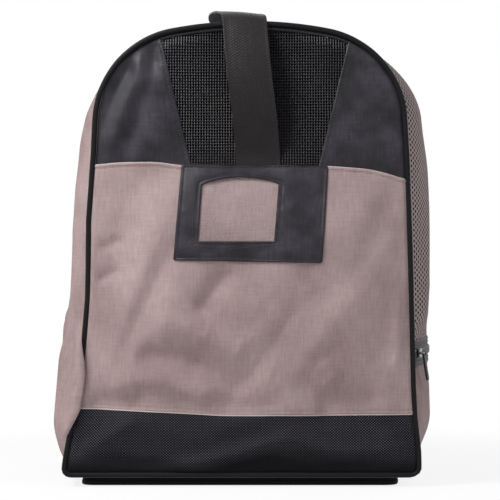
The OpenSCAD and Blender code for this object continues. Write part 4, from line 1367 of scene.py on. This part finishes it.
# one turn of coil: a rounded link that lies across the tape, its inner end hooked over the gap
def coilTurn(place, along, inner, outer):
    half = zipParts["pitch"] * 0.36
    low, high = zipParts["coilUp"], zipParts["coilUp"] + zipParts["coilHeight"]
    profile = [(inner, low + 0.45 * mm), (inner, high - 0.35 * mm), (inner + 0.4 * mm, high),
               (outer - 0.5 * mm, high - 0.05 * mm), (outer, high - 0.5 * mm), (outer, low + 0.1 * mm),
               (outer - 0.3 * mm, low), (inner + 0.5 * mm, low)]
    points = []
    for offset, shrink in ((-half, 0.72), (-half * 0.55, 1.0), (half * 0.55, 1.0), (half, 0.72)):
        centreA = (inner + outer) / 2
        centreU = (low + high) / 2
        for across, up in profile:
            points.append(place(along + offset, centreA + (across - centreA) * shrink,
                                centreU + (up - centreU) * shrink))
    points = np.array(points)
    return points, stackFaces(len(profile), 4), points[:, :2]


def coilRow(place, start, end, hand):
    # the two rows interlock, so one is half a turn ahead
    turns = np.arange(start + zipParts["pitch"] / 2, end - zipParts["pitch"] / 2, zipParts["pitch"])
    if hand > 0:
        turns = turns + zipParts["pitch"] / 2
        turns = turns[turns < end - zipParts["pitch"] * 0.4]
    inner = -0.35 * mm
    outer = zipParts["gap"] / 2 + zipParts["coilWidth"]

    def sided(along, across, up):
        return place(along, hand * across, up)
    return joinParts([coilTurn(sided, t, inner, outer) for t in turns])


def tapeRow(place, start, end, hand, steps):
    low, high = zipParts["gap"] / 2, zipParts["gap"] / 2 + zipParts["tapeWidth"]

    def surface(u, v, inward):
        up = zipParts["tapeUp"] + zipParts["tapeThickness"] + tapeRelief(v) - inward
        return place(u, hand * v, up)
    across = np.concatenate([np.linspace(low, high - 2.2 * mm, 6), np.linspace(high - 2 * mm, high, 7)])
    return sheetParts(surface, lambda u, v: np.stack([v, u], -1), np.linspace(start, end, steps), across,
                      zipParts["tapeThickness"])


# places on the two zips: along the zip, across it and out of the cloth
def onMainZip(along, across, up):
    along, across, up = np.broadcast_arrays(*(np.asarray(a, float) for a in (along, across, up)))
    turn = along / facingRadius
    radius = facingRadius + up
    return np.stack([radius * np.sin(turn), across, archCentreZ + radius * np.cos(turn)], -1)


bulgeRadius = (gussetHalf ** 2 + bag["bulge"] ** 2) / (2 * bag["bulge"])
sideArcOut = bag["bulge"] - bag["edgeIn"] - bulgeRadius


def onSideZip(along, across, up):
    along, across, up = np.broadcast_arrays(*(np.asarray(a, float) for a in (along, across, up)))
    turn = along / bulgeRadius
    radius = bulgeRadius + up
    x, z = (float(v) for v in seamPoint(zipS))
    outward = sideArcOut + radius * np.cos(turn)
    return np.stack([
        x + outward * sideNormal[0] + across * sideAlong[0], radius * np.sin(turn),
        z + outward * sideNormal[1] + across * sideAlong[1]], -1)


def arcOf(x):
    return math.asin(x / facingRadius) * facingRadius


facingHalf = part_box("facing_front")[1].x
zipEnd = arcOf(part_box("main_zip_coil_front")[1].x)
zipEndOut = arcOf(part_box("main_zip_end_right")[1].x)
mouthHalf = bag["arch"] * math.sin(archAngle)
coilEnd = arcOf(mouthHalf + 2 * mm)

for side in (-1, 1):
    face = faceName[side]
    body = "facing_" + face
    inner = bag["slotHalf"]
    outer = max(abs(v.y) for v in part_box(body))
    halfArc = arcOf(facingHalf - 0.6 * mm)

    def facingRelief(u, v):
        fromZip = v - inner
        wavy = 0.35 * mm * unevenness(u, v, 50 * mm, 51) * smooth(fromZip / (20 * mm))
        return hemRelief(fromZip, u, 50, 0.55) + wavy

    def facingSurface(u, v, inward, side=side):
        # both short edges are cut back beside the parked slider
        across = np.where(np.abs(u) > zipEnd + 0.3 * mm, np.maximum(v, inner + 2.2 * mm), v)
        return onMainZip(u, side * across, facingRelief(u, v) * 0.8 - 0.2 * mm - inward)
    cut = zipEnd + 0.31 * mm
    us = np.unique(np.concatenate([np.linspace(-halfArc, halfArc, 60), [-cut, -zipEnd, zipEnd, cut]]))
    hemmed, plain = np.linspace(inner, inner + 8 * mm, 10), np.linspace(inner + 8 * mm, outer, 50)
    vs = np.concatenate([hemmed, plain[1:]])
    facing = clothSheet(body, facingSurface, lambda u, v: np.stack([u, v], -1), us, vs, bag["cloth"] * 0.85)
    # two points at the height of the hinge, passed to attach, which bakes the facing's transform and leaves the
    # cloth unbent
    bend = [(0, side * (gussetHalf - y), 0.4064) for y in (0, 14 * mm)]
    attach(facing, charcoalPolyester, "bag", "black_polyester", body, bend=(body, *bend))

    tapeEnd = arcOf(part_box("main_zip_tape_front")[1].x)
    tape = tapeRow(onMainZip, -tapeEnd, tapeEnd, side, 60)
    attach(makeObject("main_zip_tape_" + face, *tape), ribbedTape, body, "zip_tape",
           "main_zip_tape_" + face)
    coil = coilRow(onMainZip, -zipEnd, zipEnd, side)
    attach(makeObject("main_zip_coil_" + face, *coil), nylonCoil, body, "zip_coil",
           "main_zip_coil_" + face)
    u = np.linspace(-tapeEnd + 1 * mm, tapeEnd - 1 * mm, 200)
    rowsOfThread = []
    for across in (7 * mm, 10 * mm):
        path = onMainZip(u, side * across, zipParts["tapeUp"] + zipParts["tapeThickness"] + thread["lift"])
        rowsOfThread.append((path, (0, 0, 1)))
    sewRows("main_zip_stitches_" + face, rowsOfThread, blackThread, body, "zip_tape")


def stopParts(place, along):
    # a moulded block over both rows, with rounded ends
    ring = roundedRect(*zipParts["stop"], 5)
    low, high = zipParts["coilUp"], zipParts["coilUp"] + zipParts["coilHeight"]
    points = []
    for shrink, up in ((0.9, low), (1, low + 0.2 * mm), (1, high - 0.4 * mm), (0.86, high)):
        points += [place(along + a * shrink, b * shrink, up) for a, b in ring]
    points = np.array(points)
    return points, stackFaces(len(ring), 4), points[:, :2]


for hand, which in ((-1, "left"), (1, "right")):
    def place(along, across, up, hand=hand):
        return onMainZip(hand * np.asarray(along), across, up)
    start = zipEnd + 0.5 * mm
    tapes = joinParts([tapeRow(place, start, zipEndOut, s, 14) for s in (-1, 1)])
    attach(makeObject("main_zip_end_" + which, *tapes), ribbedTape, "bag", "zip_tape",
           "main_zip_end_" + which)
    coils = joinParts([coilRow(place, start, coilEnd, s) for s in (-1, 1)])
    attach(makeObject("main_zip_end_coil_" + which, *coils), nylonCoil, "bag", "zip_coil")
    stop = stopParts(place, coilEnd + 1.8 * mm)
    attach(makeObject("main_zip_stop_" + which, *stop), lacqueredZinc, "bag", "zip_metal")

sideCoilEnd = math.asin(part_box("side_zip_coil")[1].y / bulgeRadius) * bulgeRadius
sideTapeEnd = math.asin(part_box("side_zip_tape")[1].y / (bulgeRadius + 0.5 * mm)) * bulgeRadius
tapes = joinParts([tapeRow(onSideZip, -sideTapeEnd, sideTapeEnd, s, 90) for s in (-1, 1)])
coils = joinParts([coilRow(onSideZip, -sideCoilEnd, sideCoilEnd, s) for s in (-1, 1)])
stops = joinParts([stopParts(onSideZip, s * (sideCoilEnd + 1.6 * mm)) for s in (-1, 1)])
for name, parts, material, slot in (
        ("side_zip_tape", tapes, ribbedTape, "zip_tape"), ("side_zip_coil", coils, nylonCoil, "zip_coil"),
        ("side_zip_stops", stops, lacqueredZinc, "zip_metal")):
    attach(makeObject(name, *parts), material, "bag", slot, name)
along = np.linspace(-sideTapeEnd + 2 * mm, sideTapeEnd - 2 * mm, 260)
rowsOfThread = []
for across in (-10 * mm, -7 * mm, 7 * mm, 10 * mm):
    path = onSideZip(along, across, zipParts["tapeUp"] + zipParts["tapeThickness"] + thread["lift"])
    rowsOfThread.append((path, (1, 0, 0)))
sewRows("side_zip_stitches", rowsOfThread, blackThread, "bag", "zip_tape")
print("zips")


# slider: two waisted plates round a wedge, with a bridge for the pull
slider = dict(length=14 * mm, halfWidth=4.5 * mm, roof=2.7 * mm, plate=1.6 * mm, rounding=0.45 * mm)
pull = dict(rod=6.9 * mm, width=7 * mm, thickness=1.8 * mm, length=26 * mm)


def roundedSolid(outline, low, high, rounding):
    # an outline in y and z, extruded along x, with every edge rounded
    work = bmesh.new()
    face = work.faces.new([work.verts.new((low, y, z)) for y, z in outline])
    grown = bmesh.ops.extrude_face_region(work, geom=[face])
    moved = [v for v in grown["geom"] if isinstance(v, bmesh.types.BMVert)]
    bmesh.ops.translate(work, vec=(high - low, 0, 0), verts=moved)
    bmesh.ops.recalc_face_normals(work, faces=work.faces)
    rims = [e for e in work.edges if abs(e.verts[0].co.x - e.verts[1].co.x) < 1e-9]
    bmesh.ops.bevel(work, geom=rims, offset=rounding, segments=2, profile=0.6, affect="EDGES",
                    clamp_overlap=True)
    work.verts.index_update()
    points = np.array([tuple(v.co) for v in work.verts])
    faces = [[v.index for v in f.verts] for f in work.faces]
    work.free()
    return points, faces, points[:, 1:]


def turned(parts, axis, angle, centre):
    points, faces, flat = parts
    c, s = math.cos(angle), math.sin(angle)
    a, b = [(1, 2), (2, 0), (0, 1)][axis]
    offset = points - centre
    moved = points.copy()
    moved[:, a] = centre[a] + c * offset[:, a] - s * offset[:, b]
    moved[:, b] = centre[b] + s * offset[:, a] + c * offset[:, b]
    return moved, faces, flat


def sliderOutline():
    # wide shoulders where the rows part, narrow where they close
    halfL = slider["length"] / 2
    shape = []
    for t in np.linspace(0, 1, 25):
        y = halfL * math.cos(t * math.pi)
        wide = slider["halfWidth"] * (0.74 + 0.26 * smooth((y / halfL + 1) / 2 * 1.4))
        z = wide * math.sin(t * math.pi) ** 0.42
        shape.append((y, z))
    return shape + [(y, -z) for y, z in shape[-2:0:-1]]


def sliderParts():
    roof, plate, halfL = slider["roof"], slider["plate"], slider["length"] / 2
    parts = [roundedSolid(sliderOutline(), roof, roof + plate, slider["rounding"]),
             roundedSolid(sliderOutline(), -0.2 * mm - plate, -0.2 * mm, slider["rounding"])]
    for hand in (-1, 1):
        # side rails turned down round the coil
        rail = [(y, hand * z) for y, z in ((-halfL + 2.6 * mm, 3.1 * mm), (halfL - 3.4 * mm, 3.6 * mm),
                                          (halfL - 2.6 * mm, 4.4 * mm), (-halfL + 2.6 * mm, 4.0 * mm))]
        parts.append(roundedSolid(rail, 1.2 * mm, roof + 0.3 * mm, 0.25 * mm))
    wedge = [(-halfL + 2.2 * mm, -0.4 * mm), (0, -0.4 * mm), (0, 0.4 * mm), (-halfL + 2.2 * mm, 0.4 * mm)]
    parts.append(roundedSolid(wedge, -0.4 * mm, roof + 0.2 * mm, 0.12 * mm))
    # bridge: an arched band of metal along the slider
    arch = []
    for t in np.linspace(0, 1, 21):
        y = 5.2 * mm * math.cos(t * math.pi)
        x = roof + plate * 0.7 + (pull["rod"] - roof - plate * 0.7) * math.sin(t * math.pi) ** 0.5
        arch.append((x, y, 0.0))
    parts.append(capped(tubeParts(arch, 0.95 * mm, 10, (0, 0, 1)), 10))
    return joinParts(parts)


def pullParts():
    rod = pull["rod"]
    droop = math.asin((rod - pull["thickness"] - 1.2 * mm) / (pull["length"] + 2 * mm))
    # wire eye round the bridge, then a waisted rubber tab with grip ribs on both faces
    turns = np.linspace(0, 2 * math.pi, 21)[:-1]
    eye = [(rod + 1.75 * mm * math.cos(t), 0, 1.75 * mm * math.sin(t) - 0.3 * mm) for t in turns]
    parts = [tubeParts(eye, 0.45 * mm, 8, (0, 1, 0), closed=True)]
    half, low = pull["width"] / 2, -pull["length"] + 0.4 * mm
    neck, tab = -1.2 * mm, []
    for t in np.linspace(0, math.pi, 15):
        tab.append((half * math.cos(t), low + half - half * math.sin(t)))
    tab += [(-half, -10 * mm), (-half * 0.62, -6 * mm), (-half * 0.5, neck), (half * 0.5, neck),
            (half * 0.62, -6 * mm), (half, -10 * mm)]
    t = pull["thickness"] / 2
    parts.append(roundedSolid(tab, rod - t, rod + t, 0.5 * mm))
    for k in range(5):
        z = -11.5 * mm - k * 2.2 * mm
        for face in (-1, 1):
            rib = [(rod + face * t, -half * 0.62, z), (rod + face * (t + 0.1 * mm), 0, z),
                   (rod + face * t, half * 0.62, z)]
            parts.append(capped(tubeParts(rib, 0.42 * mm, 8, (0, 0, 1)), 8))
    return turned(joinParts(parts), 1, -droop, np.array([rod, 0, 0]))


def placed(parts, origin, outward, along, across):
    points, faces, flat = parts
    return origin + points @ np.array([outward, along, across]), faces, flat


parkAngle = 9.69
mainPark = math.radians(-parkAngle)
origin = np.array([facingRadius * math.sin(mainPark), 0, archCentreZ + facingRadius * math.cos(mainPark)])
outward = np.array([math.sin(mainPark), 0, math.cos(mainPark)])
alongZip = np.array([math.cos(mainPark), 0, -math.sin(mainPark)])
acrossZip = np.array([0, 1, 0])

sideAngle = -math.asin((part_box("side_zip_slider")[0].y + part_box("side_zip_slider")[1].y) / -2 / bulgeRadius)
x, z = (float(v) for v in seamPoint(zipS))
outOfSide = np.array([sideNormal[0], 0, sideNormal[1]])
radial = outOfSide * math.cos(sideAngle) + [0, math.sin(sideAngle), 0]
tangent = outOfSide * -math.sin(sideAngle) + [0, math.cos(sideAngle), 0]
sideOrigin = outOfSide * sideArcOut + [x, 0, z] + radial * bulgeRadius
upZip = np.array([sideAlong[0], 0, sideAlong[1]])
for which, place in (
        ("main", (origin, outward, alongZip, acrossZip)), ("side", (sideOrigin, radial, tangent, upZip))):
    for kind, parts, material, slot in (
            ("slider", sliderParts(), lacqueredZinc, "zip_metal"),
            ("pull", pullParts(), pullRubber, "zip_pull_rubber")):
        name = which + "_zip_" + kind
        made = makeObject(name, *placed(parts, *place), sharp=40)
        attach(made, material, which + "_" + kind, slot, name)


# carry strap: one length of webbing from the front, over the top and down the back
strap = dict(width=40 * mm, thickness=1.6 * mm, bow=1.0 * mm)
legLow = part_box("carry_strap_front")[0].z
# x of the middle, y, z and roll to the left in degrees; where y is a small number it is how far the
# webbing's middle stands out of the face it lies on
strapPath = [
    (8, 1.0, legLow / mm, 0), (7.5, 1.0, 290, 0), (7, 1.6, 300, 0), (5.5, -155, 318, 0), (4, -160.5, 334, 0.3),
    (2, -164, 350, 0.5), (0, -165, 365, 1), (-1.5, -163.5, 380, 1), (-3, -160, 395, 1.5), (-4, -155.2, 408, 2),
    (-4.5, -151.2, 416, 2), (-5, -147.5, 421.8, 2), (-6, -141, 425.4, 2.5), (-9.5, -120, 428.6, 3),
    (-14, -85, 431.5, 4), (-18, -45, 433.6, 4), (-20, 0, 434.2, 4), (-18.5, 45, 433.6, 3), (-14, 85, 431.8, 2),
    (-9, 120, 429.2, 1), (-5, 143, 425.6, 0), (-2, 149.2, 421.6, 0), (0, 151.0, 416.5, 0), (0, 5.0, 408, 0),
    (1, 2.8, 396, 0), (2, 2.6, 375, 0), (3, 2.6, 345, 0), (3, 2.4, 318, 0), (3, 1.6, 300, 0), (3, 1.0, 290, 0),
    (3, 1.0, legLow / mm, 0),
]
keys = np.array(strapPath, float)
for k, (x, y, z, _) in enumerate(strapPath):
    if 0 < y < 10:
        side = -1 if k < len(strapPath) / 2 else 1
        keys[k, 1] = facePoint(side, x * mm, z * mm, y * mm)[1] / mm
run = np.concatenate([[0], np.cumsum(np.linalg.norm(np.diff(keys[:, :3], axis=0), axis=1))])


def strapSurface(u, v, inward):
    where = u * run[-1]
    x, y, z, roll = (splineAt(run, keys[:, k], where) for k in range(4))
    step = 0.4
    y1, z1 = splineAt(run, keys[:, 1], where + step), splineAt(run, keys[:, 2], where + step)
    y0, z0 = splineAt(run, keys[:, 1], where - step), splineAt(run, keys[:, 2], where - step)
    size = np.hypot(y1 - y0, z1 - z0)
    ny, nz = -(z1 - z0) / size, (y1 - y0) / size
    tilt = np.radians(roll)
    half = strap["width"] / mm / 2
    aside = v * 2 - 1
    cross = aside * half
    free = smooth((z - 300) / 60)
    out = -inward / mm + strap["bow"] / mm * (1 - aside ** 2) * free
    edge = 0.35 * np.exp(-((np.abs(aside) - 0.96) / 0.06) ** 2)
    ripple = 0.5 * unevenness(where * mm, cross * mm, 45 * mm, 61) * free
    out = out + edge + ripple + strap["thickness"] / mm / 2
    px = x + cross * np.cos(tilt)
    pz = z + out * nz - cross * np.sin(tilt) * np.abs(nz)
    return np.stack([px, y + out * ny, pz], -1) * mm


strapRows = np.unique(np.concatenate([np.linspace(0, 1, 150)] + [
    np.linspace(at - 0.02, at + 0.02, 24) for at in (run[11] / run[-1], run[21] / run[-1])]))
strapPiece = clothSheet(
    "carry_strap", strapSurface, lambda u, v: np.stack([v * strap["width"], u * run[-1] * mm], -1), strapRows,
    np.concatenate([np.linspace(0, 0.08, 5), np.linspace(0.08, 0.92, 14)[1:-1], np.linspace(0.92, 1, 5)]),
    strap["thickness"])
attach(strapPiece, strapWebbing, "bag", "strap_webbing", "carry_strap_front", "carry_strap_back",
       "carry_strap_loop", bend=("strap_loop", (0, 0, 0.34), (0, 0, 0.41)))

# the patch over the strap's end at the back, sewn with a box and a cross
patchLow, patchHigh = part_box("strap_patch")
patchOut = patchHigh.y + liningY
patchCorners = [(x, z) for z in (patchLow.z, patchHigh.z) for x in (patchLow.x, patchHigh.x)]
patchEdges = [straightEdge(patchCorners[a], patchCorners[b]) for a, b in ((0, 1), (2, 3), (0, 2), (1, 3))]


def patchRelief(x, z):
    d = np.minimum(np.minimum(x - patchLow.x, patchHigh.x - x), np.minimum(z - patchLow.z, patchHigh.z - z))
    return hemRelief(d, x + z, 71, 0.8) + 0.5 * mm * smooth(d / (10 * mm))


patch = facePanel("strap_patch", 1, patchEdges, edged(0, 1, 26, 0.05, 4), edged(0, 1, 22, 0.06, 4),
                  patchOut, 1.2 * mm, patchRelief)
attach(patch, trimPolyester, "bag", "black_polyester_trim", "strap_patch")
inset = 4 * mm
box = [(patchLow.x + inset, patchLow.z + inset), (patchHigh.x - inset, patchLow.z + inset),
       (patchHigh.x - inset, patchHigh.z - inset), (patchLow.x + inset, patchHigh.z - inset)]
rowsOfThread = []
for a, b in ((0, 1), (1, 2), (2, 3), (3, 0), (0, 2), (1, 3)):
    t = np.linspace(0, 1, 60)
    x = box[a][0] + (box[b][0] - box[a][0]) * t
    z = box[a][1] + (box[b][1] - box[a][1]) * t
    rowsOfThread.append((facePoint(1, x, z, patchOut + patchRelief(x, z) + thread["lift"]), (0, 1, 0)))
sewRows("strap_patch_stitches", rowsOfThread, blackThread, "bag", "black_polyester_trim")
print("strap")


# floor, light and camera: the eye and mirrors see plain white, while the object is lit by the room
def seenDirectly(tree):
    rays = addNode(tree, "LightPath")
    direct = calc(tree, "MAXIMUM", rays.outputs["Is Camera Ray"], rays.outputs["Is Glossy Ray"])
    return calc(tree, "MAXIMUM", direct, rays.outputs["Is Transmission Ray"])


floor = dict(tone="#fafafa", lit=0.3, white=0.68, least=0.85)


# matt white paper under the bag, which runs out into plain white so that no edge of it is seen
def floorFinish():
    material, tree = newMaterial("StudioPaper")
    place = addNode(tree, "TexCoord")
    length = addNode(tree, "VectorMath", {0: place.outputs["Object"]}, operation="LENGTH")
    far = addNode(tree, "MapRange", {0: length.outputs["Value"], 1: floor["lit"], 2: floor["white"],
                                     3: floor["least"]}, interpolation_type="SMOOTHSTEP")
    paper = addNode(tree, "BsdfPrincipled", {"Base Color": linear(floor["tone"]), "Roughness": 0.9})
    glow = addNode(tree, "Emission", {"Color": (1, 1, 1, 1), "Strength": 1.0})
    share = calc(tree, "MULTIPLY", far.outputs[0], seenDirectly(tree))
    mix = addNode(tree, "MixShader", {0: share, 1: paper.outputs[0], 2: glow.outputs[0]})
    finishMaterial(tree, mix)
    return material


span = 6.0
mesh = bpy.data.meshes.new("paper_floor")
corners = [(x * span, y * span, -0.05 * mm) for x, y in ((-1, -1), (1, -1), (1, 1), (-1, 1))]
mesh.from_pydata(corners, [], [(0, 1, 2, 3)])
mesh.materials.append(floorFinish())
paperFloor = bpy.data.objects.new("paper_floor", mesh)
bpy.context.scene.collection.objects.link(paperFloor)

world = bpy.data.worlds.new("studio")
bpy.context.scene.world = world
world.use_nodes = True
tree = world.node_tree
tree.nodes.clear()
room = addNode(tree, "Background", {"Color": (0.95, 0.97, 1.0, 1), "Strength": 0.25})
white = addNode(tree, "Background", {"Color": (1, 1, 1, 1), "Strength": 1.0})
mix = addNode(tree, "MixShader", {0: seenDirectly(tree), 1: room.outputs[0], 2: white.outputs[0]})
addNode(tree, "OutputWorld", {"Surface": mix.outputs[0]})


def softLamp(name, place, target, size, power):
    lamp = bpy.data.lights.new(name, "AREA")
    lamp.shape, lamp.size, lamp.size_y, lamp.energy = "RECTANGLE", size[0], size[1], power
    made = bpy.data.objects.new(name, lamp)
    made.location = place
    made.rotation_euler = (Vector(target) - Vector(place)).to_track_quat("-Z", "Y").to_euler()
    bpy.context.scene.collection.objects.link(made)


softLamp("key", (-0.62, -0.62, 1.0), (0, 0, 0.2), (0.4, 0.4), 12.3)
softLamp("fill", (0.95, -0.95, 1.15), (0, 0, 0.25), (0.8, 0.8), 3.4)
softLamp("back", (0.9, 1.7, 1.1), (0, 0, 0.2), (1.4, 1.4), 14)

view = dict(away=2.2, height=0.2133, frameWidth=0.45, sensor=36.0)
camera = bpy.data.cameras.new("camera")
camera.sensor_width = view["sensor"]
camera.lens = view["sensor"] * view["away"] / view["frameWidth"]
camera.clip_end = 50
cameraObject = bpy.data.objects.new("camera", camera)
cameraObject.location = (0, canvasLow.y - view["away"], view["height"])
cameraObject.rotation_euler = (math.pi / 2, 0, 0)
bpy.context.scene.collection.objects.link(cameraObject)
bpy.context.scene.camera = cameraObject
bpy.context.scene.view_settings.view_transform = "Standard"
